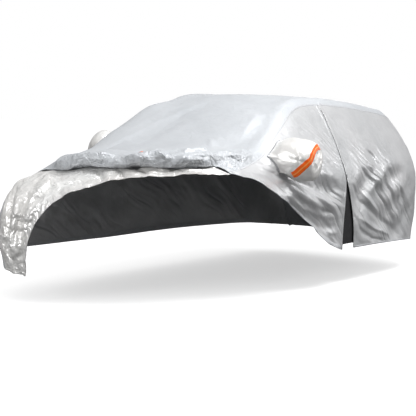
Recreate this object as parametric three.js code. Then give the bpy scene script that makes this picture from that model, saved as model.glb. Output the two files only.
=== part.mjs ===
// A fitted car cover, hanging as it does on a compact estate car that is left out.
// Millimetres. The nose points to -Y, the car's left side is +X, and Z is up.
// The origin is the underside of the roof cloth on the centre line, where the car holds the cover.
//
// Every sheet lies on one car-shaped form. A place on the form is a pair: a station, counted from the
// front hem (0) over the roof to the rear hem (15), and a girth share, which is 0 on the centre line,
// +-0.5 on the shoulder seams and +-1 on the side hems.
import * as THREE from "three";

// Driving sizes.
const CLOTH = 2; // thickness of the sheets
const GAP = 1; // space between two sewn edges
const TAPE = 1.2; // thickness of zip tape and reflective tape
const TAPE_WIDTH = 6; // zip tape that shows on each side of the slit
const STRIP_WIDTH = 52; // reflective strip on the mirror pockets
const SHOULDER = 0.5; // girth share of the shoulder seams
const ROOF_END = 11; // station of the seam above the tailgate
const REAR_HEM = 15;
const ZIP_STATION = 7.8; // where the zip meets the shoulder seam
const MOUNT_STATION = 8.2; // roof point that the car carries

// Colours: silver foil at the front, silver-grey coated cloth elsewhere.
const foil = { color: 0xdfe0e1, roughness: 0.32, metalness: 0.45 };
const paleCloth = { color: 0xd7dade, roughness: 0.55, metalness: 0.1 };
const greyCloth = { color: 0xb9bbbe, roughness: 0.6, metalness: 0.1 };
const orange = { color: 0xff6a00, roughness: 0.35, metalness: 0 };
const charcoal = { color: 0x232326, roughness: 0.8, metalness: 0 };
const black = { color: 0x0c0c0e, roughness: 0.85, metalness: 0 };
const steel = { color: 0x8d9094, roughness: 0.35, metalness: 0.9 };

// The form, half of it, from the centre line to the side hem: centre, edge of the flat top, shoulder,
// waist and hem, each as x, y, z with y from the front axle and z from the ground.
const STATIONS = [
  [[0, -865, 195], [400, -850, 195], [585, -775, 200], [678, -695, 216], [745, -585, 256]], // front hem
  [[0, -905, 480], [420, -880, 475], [640, -780, 460], [752, -640, 420], [812, -450, 290]], // bumper
  [[0, -855, 735], [400, -820, 730], [635, -705, 705], [790, -530, 600], [845, -390, 290]], // bonnet lip
  [[0, -600, 865], [400, -575, 855], [660, -500, 805], [820, -380, 630], [852, -290, 290]],
  [[0, -150, 985], [420, -130, 970], [705, -80, 915], [840, -50, 680], [857, -50, 290]], // bonnet
  [[0, 330, 1085], [400, 370, 1075], [690, 410, 1025], [848, 420, 760], [857, 400, 290]],
  [[0, 750, 1300], [380, 780, 1285], [625, 815, 1225], [850, 800, 880], [857, 780, 290]], // windscreen
  [[0, 1180, 1465], [350, 1200, 1450], [560, 1215, 1400], [842, 1190, 940], [857, 1180, 295]],
  [[0, 1700, 1502], [360, 1700, 1488], [567, 1700, 1437], [842, 1700, 955], [857, 1700, 300]], // roof
  [[0, 2300, 1497], [355, 2300, 1482], [562, 2300, 1427], [842, 2300, 960], [857, 2300, 295]],
  [[0, 2880, 1467], [350, 2880, 1452], [545, 2880, 1397], [832, 2860, 960], [850, 2850, 285]],
  [[0, 3330, 1415], [330, 3320, 1400], [510, 3290, 1345], [802, 3220, 930], [835, 3130, 275]], // spoiler
  [[0, 3470, 1150], [350, 3455, 1140], [590, 3410, 1080], [778, 3330, 790], [812, 3215, 270]],
  [[0, 3550, 800], [380, 3535, 800], [640, 3475, 760], [768, 3390, 590], [788, 3275, 266]], // tailgate
  [[0, 3570, 500], [400, 3555, 500], [640, 3490, 480], [735, 3415, 410], [755, 3338, 263]],
  [[0, 3510, 260], [380, 3500, 260], [560, 3455, 260], [640, 3420, 260], [708, 3385, 260]], // rear hem
];
const RAILS = 4; // rails from the centre line to a hem

// Creases that hang in the cloth, as [height, half width, [station, girth share], ...] along the crease.
// A positive height is a ridge and a negative one a trough.
const CREASES = [
  // left side, fanning back from the windscreen foot under the mirror
  [-30, 46, [5.1, 0.63], [5.65, 0.71], [6.0, 0.76], [6.8, 0.8], [7.6, 0.83]],
  [22, 40, [5.3, 0.7], [5.8, 0.79], [6.4, 0.84], [7.0, 0.865], [7.5, 0.87]],
  [-14, 30, [6.3, 0.865], [7.0, 0.885], [7.55, 0.885]],
  [16, 36, [6.0, 0.73], [6.8, 0.765], [7.6, 0.79]],
  [-28, 42, [5.6, 0.81], [6.1, 0.865], [7.0, 0.925], [7.6, 0.925]],
  [14, 34, [6.3, 0.91], [7.0, 0.96], [7.5, 0.97]],
  // left side, gathered towards the rear bumper
  [-24, 46, [8.4, 0.75], [9.0, 0.84], [9.6, 0.92], [10.2, 0.965]],
  [18, 40, [8.7, 0.74], [9.2, 0.82], [9.8, 0.905], [10.4, 0.96]],
  [-30, 46, [8.9, 0.7], [9.3, 0.79], [9.9, 0.88], [10.6, 0.955]],
  [-22, 42, [9.4, 0.73], [10.0, 0.82], [10.8, 0.93]],
  [16, 38, [9.15, 0.71], [9.75, 0.81], [10.6, 0.93]],
  [-36, 48, [8.0, 0.8], [8.4, 0.86], [9.1, 0.92], [10.2, 0.975]],
  [14, 40, [8.3, 0.81], [8.8, 0.88], [9.5, 0.945]],
  // right side, the same pull with folds of its own
  [-26, 50, [5.4, -0.72], [6.2, -0.8], [7.4, -0.86], [8.2, -0.88]],
  [20, 46, [5.2, -0.78], [6.1, -0.87], [7.2, -0.93]],
  [-24, 50, [3.4, -0.66], [4.2, -0.78], [5.0, -0.9]],
  [18, 46, [2.9, -0.68], [3.5, -0.8], [4.1, -0.92]],
  [-28, 50, [8.7, -0.72], [9.4, -0.83], [10.4, -0.95]],
  [20, 46, [9.3, -0.7], [10.0, -0.82], [10.8, -0.93]],
  [-24, 48, [7.8, -0.8], [8.6, -0.89], [9.8, -0.96]],
  // nose and front corner
  [22, 44, [0.1, -0.45], [1.2, -0.43], [2.2, -0.42], [3.0, -0.47]],
  [-20, 40, [0.0, -0.38], [0.9, -0.36], [1.8, -0.37], [2.6, -0.42]],
  [20, 40, [0.0, -0.3], [0.8, -0.28], [1.6, -0.29], [2.3, -0.34]],
  [-16, 34, [0.4, -0.23], [1.2, -0.21], [1.9, -0.24], [2.5, -0.27]],
  [18, 38, [1.7, -0.17], [2.3, -0.16], [2.8, -0.22], [3.1, -0.31]],
  [-14, 34, [2.2, -0.08], [2.7, -0.1], [3.0, -0.18]],
  [16, 44, [0.3, -0.56], [1.3, -0.55], [2.3, -0.6]],
  [-18, 44, [0.4, -0.66], [1.3, -0.65], [2.1, -0.72]],
  // right corner of the windscreen, where the cloth stands off the pillar
  [62, 220, [4.6, -0.4], [5.3, -0.42], [6.0, -0.43], [6.6, -0.43]],
  // bunched cloth on the lip
  [20, 44, [3.3, 0.1], [3.8, 0.17], [4.3, 0.3]],
  [-16, 36, [3.5, 0.22], [4.0, 0.29], [4.4, 0.38]],
  [14, 38, [3.1, -0.12], [3.6, -0.06], [4.2, -0.02]],
  [-12, 34, [3.2, 0.0], [3.7, 0.06], [4.3, 0.1]],
  // windscreen, long soft pulls up to the roof
  [6, 60, [4.6, -0.33], [5.6, -0.26], [6.5, -0.14], [7.2, -0.05]],
  [-7, 60, [4.9, -0.2], [5.8, -0.12], [6.6, 0.0]],
  [8, 55, [4.8, 0.12], [5.6, 0.2], [6.4, 0.24]],
  [-7, 55, [4.9, 0.3], [5.6, 0.36], [6.3, 0.38]],
  // roof and tail
  [6, 80, [7.6, 0.3], [8.8, 0.2], [10.2, 0.26]],
  [-6, 80, [7.6, -0.2], [9.0, -0.28], [10.6, -0.2]],
  [-18, 60, [11.6, 0.2], [12.8, 0.28], [14.2, 0.36]],
  [16, 60, [11.6, -0.15], [12.8, -0.24], [14.4, -0.34]],
  [16, 60, [11.8, 0.36], [12.8, 0.42], [14.2, 0.47]],
  [-16, 60, [11.5, -0.33], [12.7, -0.42], [14.2, -0.48]],
];

// The edge drawn back from the nose to the left door, as [station, girth share].
const DRAWN_HEM = [
  [0, -0.21], [0.6, -0.185], [1.2, -0.15], [1.6, -0.1], [2.05, -0.04], [2.4, 0.01], [2.9, 0.085],
  [3.25, 0.2], [3.6, 0.34], [3.78, 0.43], [3.96, 0.48], [4.12, 0.5],
];
const SIDE_HEM = [
  [4.3, 0.56], [4.45, 0.585], [4.6, 0.624], [4.8, 0.69], [5.1, 0.76], [5.5, 0.815], [6.0, 0.868],
  [6.5, 0.91], [7.0, 0.955], [7.4, 0.982], [7.78, 1],
];

// The windscreen cloth has slid forward and hangs over the bonnet in a lip.
// Its nose line and its strength across the car, as [girth share, value].
const LIP_NOSE = [
  [-0.5, 3.05], [-0.3, 3.0], [-0.17, 3.02], [-0.08, 3.22], [0, 3.26], [0.14, 3.42], [0.24, 3.6],
  [0.32, 3.78], [0.41, 3.86], [0.5, 3.9],
];
const LIP_STRENGTH = [
  [-0.5, 0], [-0.42, 0.12], [-0.33, 0.45], [-0.22, 0.82], [-0.08, 1], [0.05, 0.9], [0.16, 1.05],
  [0.24, 0.95], [0.3, 1.1], [0.38, 0.68], [0.45, 0.24], [0.5, 0],
];
// The lip in section, from the tuck over the nose and back: forward of its root, and above the bonnet.
const LIP_SECTION = [
  [180, 8], [255, 24], [285, 55], [258, 90], [180, 104], [60, 80], [-100, 34], [-300, 0],
];
const LIP_TUCK = 0.22; // stations from the nose back to the tuck
const LIP_REACH = 1.07; // stations that the lip takes up
const STATION_LENGTH = 450; // millimetres between two bonnet stations

// Slit of the zip from the shoulder seam to the hem, and the rear edge once it is open.
const ZIP_LINE = [
  [0.5, 7.8], [0.58, 7.74], [0.65, 7.69], [0.72, 7.69], [0.79, 7.77], [0.88, 7.76], [1, 7.78],
];
const ZIP_FOOT = ZIP_LINE.at(-1)[1];
const ZIP_OPEN = [[0.5, 0], [0.77, 0], [0.81, 0.05], [0.85, 0.16], [0.93, 0.34], [1, 0.38]];

// Rows and columns of the sheets.
const FRONT_ROWS = 20;
const LIP_ROWS = 8;
const SCREEN_ROWS = 9;
const ROOF_ROWS = 8;
const TAIL_ROWS = 8;
const TOP_COLUMNS = 18;
const RIGHT_COLUMNS = 8;
const LEFT_COLUMNS = 12;
const ALL_ROOF_ROWS = LIP_ROWS + SCREEN_ROWS + ROOF_ROWS;

const clamp = THREE.MathUtils.clamp;
const lerp = THREE.MathUtils.lerp;
const ease = THREE.MathUtils.smoothstep;

// Value of a list of [x, value] at x, with soft bends.
function graph(points, x) {
  const last = points.length - 1;
  let i = 0;
  while (i < last - 1 && x > points[i + 1][0]) i += 1;
  const t = clamp((x - points[i][0]) / (points[i + 1][0] - points[i][0]), 0, 1);
  const before = points[Math.max(i - 1, 0)];
  const after = points[Math.min(i + 2, last)];
  const span = points[i + 1][0] - points[i][0];
  const rise = (a, b) => (b[1] - a[1]) / (b[0] - a[0] || 1);
  const start = i === 0 ? rise(points[i], points[i + 1]) : rise(before, points[i + 1]);
  const end = i === last - 1 ? rise(points[i], points[i + 1]) : rise(points[i], after);
  const t2 = t * t;
  const t3 = t2 * t;
  return (2 * t3 - 3 * t2 + 1) * points[i][1] + (t3 - 2 * t2 + t) * span * start
    + (3 * t2 - 2 * t3) * points[i + 1][1] + (t3 - t2) * span * end;
}

// Point of a list of points, a share of the way along it.
function along(points, share) {
  const place = clamp(share, 0, 1) * (points.length - 1);
  const i = Math.min(Math.floor(place), points.length - 2);
  const t = place - i;
  return points[i].map((value, axis) => lerp(value, points[i + 1][axis], t));
}

function catmull(p, t) {
  const point = new THREE.Vector3();
  const weights = [
    -t + 2 * t * t - t * t * t,
    2 - 5 * t * t + 3 * t * t * t,
    t + 4 * t * t - 3 * t * t * t,
    t * t * t - t * t,
  ];
  weights.forEach((weight, i) => point.addScaledVector(p[i], weight / 2));
  return point;
}

// Control point of the form; past its ends the last step is carried on.
function control(station, rail) {
  const last = STATIONS.length - 1;
  if (station < 0) return control(0, rail).multiplyScalar(2).sub(control(1, rail));
  if (station > last) return control(last, rail).multiplyScalar(2).sub(control(last - 1, rail));
  if (rail < -RAILS) return control(station, -RAILS).multiplyScalar(2).sub(control(station, 1 - RAILS));
  if (rail > RAILS) return control(station, RAILS).multiplyScalar(2).sub(control(station, RAILS - 1));
  const [x, y, z] = STATIONS[station][Math.abs(rail)];
  return new THREE.Vector3(rail < 0 ? -x : x, y, z);
}

// The smooth form at a station and girth share.
function form(station, share) {
  const i = clamp(Math.floor(station), 0, STATIONS.length - 2);
  const k = clamp(Math.floor(share * RAILS), -RAILS, RAILS - 1);
  const rails = [-1, 0, 1, 2].map((step) => catmull(
    [-1, 0, 1, 2].map((ahead) => control(i + ahead, k + step)),
    station - i,
  ));
  return catmull(rails, share * RAILS - k);
}

// Outward normal of a surface given as a function of two shares, at a place in it.
function normalOf(surface, a, b, low, high, reachA = 1e-4, reachB = 1e-4) {
  const alongA = surface(Math.min(a + reachA, high[0]), b).sub(surface(Math.max(a - reachA, low[0]), b));
  const alongB = surface(a, Math.min(b + reachB, high[1])).sub(surface(a, Math.max(b - reachB, low[1])));
  return alongB.cross(alongA).normalize();
}
const FORM_LOW = [0, -1];
const FORM_HIGH = [REAR_HEM, 1];

const creaseLines = CREASES.map(([height, width, ...path]) => {
  const spots = path.map(([station, share]) => form(station, share));
  return { height, width, spots };
});

// Height of the creases above the form at a point.
function creaseHeight(point) {
  let sum = 0;
  const nearest = new THREE.Vector3();
  for (const { height, width, spots } of creaseLines) {
    let best = { distance: Infinity, share: 0 };
    for (let i = 0; i + 1 < spots.length; i += 1) {
      const line = new THREE.Line3(spots[i], spots[i + 1]);
      const t = line.closestPointToPointParameter(point, true);
      const distance = line.at(t, nearest).distanceTo(point);
      if (distance < best.distance) best = { distance, share: (i + t) / (spots.length - 1) };
    }
    const ends = ease(best.share, 0, 0.25) * ease(1 - best.share, 0, 0.2);
    sum += height * (0.25 + 0.75 * ends) * Math.exp(-((best.distance / width) ** 2));
  }
  return sum;
}

// The hanging cloth: the form with its creases.
function surface(station, share) {
  const point = form(station, share);
  const normal = normalOf(form, station, share, FORM_LOW, FORM_HIGH);
  return point.addScaledVector(normal, creaseHeight(point));
}

// Closed thin sheet from a function of two shares (0 to 1), by rows and columns.
// hole leaves out a block of cells: [first row, last row, first column, last column].
function sheetGeometry(place, rows, columns, thickness, hole) {
  const outer = [];
  const inner = [];
  const normalAt = place.normalAt ?? ((s, t) => normalOf(place, s, t, [0, 0], [1, 1]));
  for (let i = 0; i <= rows; i += 1) {
    for (let j = 0; j <= columns; j += 1) {
      const point = place(i / rows, j / columns);
      const inset = (place.normalAt || i % rows || j % columns) ? 0 : 0.5; // a corner takes its cell's normal
      const normal = normalAt(
        clamp(i, inset, rows - inset) / rows,
        clamp(j, inset, columns - inset) / columns,
      );
      outer.push(point.clone().addScaledVector(normal, thickness / 2));
      inner.push(point.clone().addScaledVector(normal, -thickness / 2));
    }
  }
  const width = columns + 1;
  const count = outer.length;
  const inHole = (i, j) => hole && i >= hole[0] && i < hole[1] && j >= hole[2] && j < hole[3];
  const filled = (i, j) => i >= 0 && j >= 0 && i < rows && j < columns && !inHole(i, j);
  const index = [];
  const quad = (a, b, c, d) => index.push(a, b, c, a, c, d);
  // Cells are split along the diagonal that runs to the nearest corner of the sheet.
  const cell = (corners, i, j) => {
    const towardsFirst = (i < rows / 2) === (j < columns / 2);
    const [a, b, c, d] = towardsFirst ? corners : [...corners.slice(1), corners[0]];
    quad(a, b, c, d);
    const [e, f, g, h] = [a, b, c, d].map((corner) => corner + count);
    quad(e, h, g, f);
  };
  for (let i = 0; i < rows; i += 1) {
    for (let j = 0; j < columns; j += 1) {
      if (!filled(i, j)) continue;
      const a = i * width + j;
      const b = a + 1;
      const c = a + width + 1;
      const d = a + width;
      cell([a, b, c, d], i, j);
      if (!filled(i - 1, j)) quad(b, a, a + count, b + count);
      if (!filled(i + 1, j)) quad(d, c, c + count, d + count);
      if (!filled(i, j - 1)) quad(a, d, d + count, a + count);
      if (!filled(i, j + 1)) quad(c, b, b + count, c + count);
    }
  }
  const points = [...outer, ...inner];
  const used = [...new Set(index)];
  const renumber = new Map(used.map((old, now) => [old, now]));
  const geometry = new THREE.BufferGeometry();
  geometry.setAttribute("position", new THREE.Float32BufferAttribute(
    used.flatMap((old) => points[old].toArray()),
    3,
  ));
  geometry.setIndex(index.map((old) => renumber.get(old)));
  geometry.computeVertexNormals();
  return geometry;
}

function sheet(name, finish, place, rows, columns, thickness = CLOTH, hole = null) {
  const material = new THREE.MeshStandardMaterial(finish);
  const mesh = new THREE.Mesh(sheetGeometry(place, rows, columns, thickness, hole), material);
  mesh.name = name;
  return mesh;
}

// Half the gap between two edges, as a girth share and as stations.
const GIRTH_LENGTH = 2150; // millimetres from the centre line to a side hem, a girth share of 1
const SHARE_GAP = GAP / 2 / GIRTH_LENGTH;
const STATION_GAP = GAP / 2 / STATION_LENGTH;
const DOOR_STATION_LENGTH = 500; // millimetres between two stations at the zip

const tuckStation = (share) => graph(LIP_NOSE, share) + LIP_TUCK;

// Station of a row of the windscreen and roof cloth, which starts at the tuck.
function roofStation(row, share) {
  const lipEnd = tuckStation(share) + LIP_REACH;
  if (row <= LIP_ROWS) return lipEnd - LIP_REACH * (1 - row / LIP_ROWS);
  const afterLip = row - LIP_ROWS;
  if (afterLip <= SCREEN_ROWS) return lerp(lipEnd, ZIP_STATION, afterLip / SCREEN_ROWS);
  return lerp(ZIP_STATION, ROOF_END, (afterLip - SCREEN_ROWS) / ROOF_ROWS);
}

// Front cloth: from the front hem back over the bonnet to the tuck, and across to the drawn edge.
function frontPlace(s, t) {
  const right = [s * tuckStation(-SHOULDER), -SHOULDER];
  const left = along(DRAWN_HEM, s);
  const bottom = [0, lerp(-SHOULDER, DRAWN_HEM[0][1], t)];
  const topShare = lerp(-SHOULDER, SHOULDER, t);
  const top = [tuckStation(topShare), topShare];
  const lowRight = [0, -SHOULDER];
  const lowLeft = DRAWN_HEM[0];
  const highRight = [tuckStation(-SHOULDER), -SHOULDER];
  const highLeft = DRAWN_HEM.at(-1);
  const spot = [0, 1].map((axis) => lerp(right[axis], left[axis], t) + lerp(bottom[axis], top[axis], s)
    - lerp(lerp(lowRight[axis], lowLeft[axis], t), lerp(highRight[axis], highLeft[axis], t), s));
  const station = spot[0] - STATION_GAP * s;
  return surface(station, spot[1] + SHARE_GAP * (1 - t));
}

// Windscreen and roof cloth, with the lip over the bonnet at its front.
function roofPlace(s, t) {
  const share = lerp(-SHOULDER + SHARE_GAP, SHOULDER - SHARE_GAP, t);
  const row = s * ALL_ROOF_ROWS;
  const station = roofStation(row, share) + STATION_GAP * (1 - 2 * s);
  if (row >= LIP_ROWS) return surface(station, share);
  const strength = Math.max(graph(LIP_STRENGTH, share), 0) * ease(SHOULDER - Math.abs(share), 0, 0.06);
  const lengthShare = row / LIP_ROWS;
  const section = [0, 1].map((axis) => graph(
    LIP_SECTION.map((spot, i) => [i / (LIP_SECTION.length - 1), spot[axis]]),
    lengthShare,
  ));
  const flat = lerp(LIP_SECTION[0][0], LIP_SECTION.at(-1)[0], lengthShare);
  const slide = strength * clamp(strength, 0, 1);
  const moved = station - slide * (section[0] - flat) / STATION_LENGTH;
  const lift = section[1] * Math.max(strength, ease(strength, 0, 0.35) * (1 - ease(lengthShare, 0, 0.1)));
  const normal = normalOf(form, moved, share, FORM_LOW, FORM_HIGH);
  return surface(moved, share).addScaledVector(normal, lift);
}

// Over the lip the normal is that of the cells round a place, because the folds are tight there.
roofPlace.normalAt = (s, t) => {
  const inLip = s * ALL_ROOF_ROWS < LIP_ROWS - 0.5;
  const reach = inLip ? [0.5 / ALL_ROOF_ROWS, 0.5 / TOP_COLUMNS] : [1e-4, 1e-4];
  return normalOf(roofPlace, s, t, [0, 0], [1, 1], ...reach);
};

function tailPlace(s, t) {
  const share = lerp(-SHOULDER + SHARE_GAP, SHOULDER - SHARE_GAP, t);
  return surface(lerp(ROOF_END + STATION_GAP, REAR_HEM, s), share);
}

// Stations of the rows along a shoulder seam, from the front hem to the rear hem.
function seamStations(side) {
  const front = tuckStation(-SHOULDER);
  const stations = [];
  for (let i = 0; i < FRONT_ROWS; i += 1) stations.push(front * i / FRONT_ROWS);
  for (let i = 0; i < ALL_ROOF_ROWS; i += 1) stations.push(roofStation(i, side * SHOULDER));
  for (let i = 0; i <= TAIL_ROWS; i += 1) stations.push(lerp(ROOF_END, REAR_HEM, i / TAIL_ROWS));
  return stations;
}
const rightStations = seamStations(-1);
const leftStations = seamStations(1);
const RIGHT_ROWS = rightStations.length - 1;

function stationAt(stations, place) {
  const i = Math.min(Math.floor(place), stations.length - 2);
  return lerp(stations[i], stations[i + 1], place - i);
}

function rightPlace(s, t) {
  return surface(stationAt(rightStations, s * RIGHT_ROWS), lerp(-1, -SHOULDER - SHARE_GAP, t));
}

// Left side in front of the zip: between the shoulder seam and the drawn edge.
const leftFrontStations = leftStations.slice(FRONT_ROWS, FRONT_ROWS + LIP_ROWS + SCREEN_ROWS + 1);
const LEFT_FRONT_ROWS = leftFrontStations.length - 1;
const TAPE_STATIONS = (TAPE_WIDTH + GAP * 1.5) / DOOR_STATION_LENGTH; // room for a tape
const ZIP_BEND = 0.3; // share of a side sheet over which its rows bend to the zip line

function leftFrontPlace(s, t) {
  const top = [stationAt(leftFrontStations, s * LEFT_FRONT_ROWS), SHOULDER + SHARE_GAP];
  const low = along(SIDE_HEM, s);
  const share = lerp(top[1], low[1], t);
  const nearZip = ease(s, 1 - ZIP_BEND, 1);
  const straight = lerp(top[0], low[0], t) + 2 * STATION_GAP * (1 - s);
  const bend = graph(ZIP_LINE, share) - lerp(ZIP_STATION, ZIP_FOOT, t) - TAPE_STATIONS;
  return surface(straight + nearZip * bend, share);
}

// Left side behind the zip, back to the rear hem.
const leftRearStations = leftStations.slice(FRONT_ROWS + LIP_ROWS + SCREEN_ROWS);
const LEFT_REAR_ROWS = leftRearStations.length - 1;
const rearEdge = (share) => graph(ZIP_LINE, share) + Math.max(graph(ZIP_OPEN, share), 0);

function leftRearPlace(s, t) {
  const share = lerp(SHOULDER + SHARE_GAP, 1, t);
  const straight = stationAt(leftRearStations, s * LEFT_REAR_ROWS);
  const nearZip = 1 - ease(s, 0, ZIP_BEND);
  const station = straight + nearZip * (rearEdge(share) - ZIP_STATION + TAPE_STATIONS);
  return surface(station, share);
}

// Mirror pockets. The bag starts on the edge of a block of cells left out of its side cloth.
const LEFT_HOLE = [8, 10, 1, 6];
const RIGHT_HOLE = [30, 32, 5, 7];
const POCKET_CELLS = 10;
const POCKET = { x: 1022, y: 640, z: 1030, halfDepth: 128, halfHeight: 148 };
const RIGHT_POCKET = { ...POCKET, x: 945, z: 1004 };
// From the mouth (0) to the middle of the outer end (1): how far out the bag is, and how wide.
const POCKET_OUT = [[0, 0], [0.2, 0.3], [0.4, 0.66], [0.6, 0.93], [0.8, 0.99], [1, 1]];
const POCKET_GIRTH = [[0, 0.9], [0.2, 1], [0.4, 1.02], [0.6, 0.84], [0.8, 0.44], [1, 0]];

// Square cells (-1 to 1) laid on a disc, and the square's edge at an angle round that disc.
const onDisc = (a, b) => [a * Math.sqrt(1 - b * b / 2), b * Math.sqrt(1 - a * a / 2)];
function squareEdge(angle) {
  const x = Math.cos(angle);
  const y = Math.sin(angle);
  if (Math.abs(x) >= Math.abs(y)) return [Math.sign(x), clamp(y * Math.SQRT2, -1, 1)];
  return [clamp(x * Math.SQRT2, -1, 1), Math.sign(y)];
}

function pocketPlace(side, bag, place, rows, columns, hole) {
  const node = (i, j) => place(i / rows, j / columns);
  const edgeSpot = ([a, b]) => {
    const i = lerp(hole[0], hole[1], (a + 1) / 2);
    const j = lerp(hole[2], hole[3], (b + 1) / 2);
    const i0 = Math.min(Math.floor(i + 1e-9), hole[1] - 1);
    const j0 = Math.min(Math.floor(j + 1e-9), hole[3] - 1);
    const low = node(i0, j0).lerp(node(i0, j0 + 1), j - j0);
    return low.lerp(node(i0 + 1, j0).lerp(node(i0 + 1, j0 + 1), j - j0), i - i0);
  };
  const middle = edgeSpot([0, 0]);
  const at = (radius, turn) => {
    const k = 1 - radius;
    const mouth = edgeSpot(squareEdge(turn));
    const inward = middle.clone().sub(mouth).normalize();
    mouth.addScaledVector(inward, CLOTH + GAP);
    mouth.x += side * CLOTH * 2;
    const round = mouth.clone().sub(middle);
    const angle = Math.atan2(round.z, round.y);
    const out = graph(POCKET_OUT, k);
    const girth = graph(POCKET_GIRTH, k);
    const y = bag.y + 40 * out + girth * bag.halfDepth * Math.cos(angle);
    const z = bag.z + girth * bag.halfHeight * Math.sin(angle) - 12 * out;
    const x = side * lerp(Math.abs(mouth.x), bag.x, out);
    const leave = ease(k, 0, 0.2);
    return new THREE.Vector3(x, lerp(mouth.y, y, leave), lerp(mouth.z, z, leave));
  };
  const polar = (s, t) => {
    const [x, y] = onDisc(2 * s - 1, 2 * t - 1);
    return [Math.hypot(x, y), Math.atan2(y, x)];
  };
  const bagPlace = (s, t) => at(...polar(s, t));
  bagPlace.normalAt = (s, t) => {
    const [radius, turn] = polar(s, t);
    if (radius < 0.05) return new THREE.Vector3(side, 0, 0);
    const halfCell = 1 / POCKET_CELLS;
    const round = at(radius, turn + halfCell / 2).sub(at(radius, turn - halfCell / 2));
    const inwards = at(Math.max(radius - halfCell, 0), turn).sub(at(radius, turn));
    return inwards.cross(round).normalize();
  };
  return bagPlace;
}
const leftPocketPlace = pocketPlace(1, POCKET, leftFrontPlace, LEFT_FRONT_ROWS, LEFT_COLUMNS, LEFT_HOLE);
const rightPocketPlace = pocketPlace(-1, RIGHT_POCKET, rightPlace, RIGHT_ROWS, RIGHT_COLUMNS, RIGHT_HOLE);

// Ribbon that follows a surface: a path of [a, b] places in it, with a width and a height above it.
function ribbonPlace(place, path, width, lift) {
  const curve = new THREE.CatmullRomCurve3(path.map(([a, b]) => new THREE.Vector3(a, b, 0)));
  return (s, t) => {
    const spot = curve.getPoint(clamp(s, 0, 1));
    const point = place(spot.x, spot.y);
    const ahead = curve.getPoint(clamp(s + 0.01, 0, 1));
    const behind = curve.getPoint(clamp(s - 0.01, 0, 1));
    const forward = place(ahead.x, ahead.y).sub(place(behind.x, behind.y)).normalize();
    const normal = normalOf(place, spot.x, spot.y, [0, 0], [1, 1]);
    const across = forward.cross(normal).normalize();
    return point.addScaledVector(across, (0.5 - t) * width).addScaledVector(normal, lift);
  };
}

// Zip tapes, edge to edge down the slit and apart where it is open.
function tapePlace(side, edge) {
  return (s, t) => {
    const share = lerp(SHOULDER + SHARE_GAP, 1, s);
    const middle = (GAP / 2 + TAPE_WIDTH * (side > 0 ? t : 1 - t)) / DOOR_STATION_LENGTH;
    return surface(edge(share) + side * middle, share);
  };
}

// Black guard behind the slit, wider towards the hem.
const GUARD_ENDS = [0.55, 0.985]; // girth shares
const GUARD_OVERLAP = 0.07; // stations past each edge of the slit
const GUARD_DEPTH = 9;

function guardPlace(s, t) {
  const share = lerp(GUARD_ENDS[0], GUARD_ENDS[1], s);
  const centre = (graph(ZIP_LINE, share) + rearEdge(share)) / 2;
  const half = (rearEdge(share) - graph(ZIP_LINE, share)) / 2 + GUARD_OVERLAP;
  const point = surface(centre + lerp(-half, half, t), share);
  const normal = normalOf(form, centre, share, FORM_LOW, FORM_HIGH);
  return point.addScaledVector(normal, -GUARD_DEPTH);
}

// Slider at the top of the open part: a narrow foot and a round head.
const SLIDER_SHARE = 0.775;
const SLIDER = { foot: 4, head: 5.5, below: 7, above: 6, depth: 4 };
const SLIDER_LIFT = 2.4; // from the cloth's middle, clear of the tapes

function slider() {
  const share = SLIDER_SHARE;
  const point = surface(graph(ZIP_LINE, share), share);
  const shape = new THREE.Shape();
  shape.moveTo(-SLIDER.foot, -SLIDER.below);
  shape.lineTo(SLIDER.foot, -SLIDER.below);
  shape.lineTo(SLIDER.head, SLIDER.above);
  shape.absarc(0, SLIDER.above, SLIDER.head, 0, Math.PI, false);
  shape.closePath();
  const solid = { depth: SLIDER.depth, bevelEnabled: false, curveSegments: 6 };
  const geometry = new THREE.ExtrudeGeometry(shape, solid);
  const mesh = new THREE.Mesh(geometry, new THREE.MeshStandardMaterial(steel));
  mesh.name = "zip_slider";
  const normal = normalOf(form, graph(ZIP_LINE, share), share, FORM_LOW, FORM_HIGH);
  mesh.quaternion.setFromUnitVectors(new THREE.Vector3(0, 0, 1), normal);
  mesh.position.copy(point).addScaledVector(normal, SLIDER_LIFT);
  return mesh;
}

// Reflective strips, slanting over the outer end of each pocket.
const LEFT_STRIP = [
  [0.62, 0.31], [0.54, 0.33], [0.46, 0.35], [0.36, 0.37], [0.28, 0.43], [0.22, 0.52], [0.19, 0.63],
  [0.18, 0.74],
];
const RIGHT_STRIP = [
  [0.76, 0.74], [0.66, 0.68], [0.52, 0.64], [0.38, 0.58], [0.28, 0.47], [0.22, 0.36], [0.18, 0.27],
];
const STRIP_LIFT = 8; // the strips bridge the bag's hollows

// End of a sewn-in reflective tape that peeks out on the lip.
const TAB = [[0.163, 0.619], [0.163, 0.628], [0.163, 0.637]];
const TAB_WIDTH = 16;
const TAB_LIFT = 4;

// Rows and columns of the small strips.
const STRIP_CELLS = [16, 2];
const TAB_CELLS = [2, 1];
const TAPE_CELLS = [LEFT_COLUMNS, 1];
const GUARD_CELLS = [LEFT_COLUMNS, 2];

const pocketStrip = (place, path) => ribbonPlace(place, path, STRIP_WIDTH, STRIP_LIFT);
const frontTapePlace = tapePlace(-1, (share) => graph(ZIP_LINE, share));
const rearTapePlace = tapePlace(1, rearEdge);
const rightRows = [RIGHT_ROWS, RIGHT_COLUMNS];
const leftFrontRows = [LEFT_FRONT_ROWS, LEFT_COLUMNS];

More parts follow.
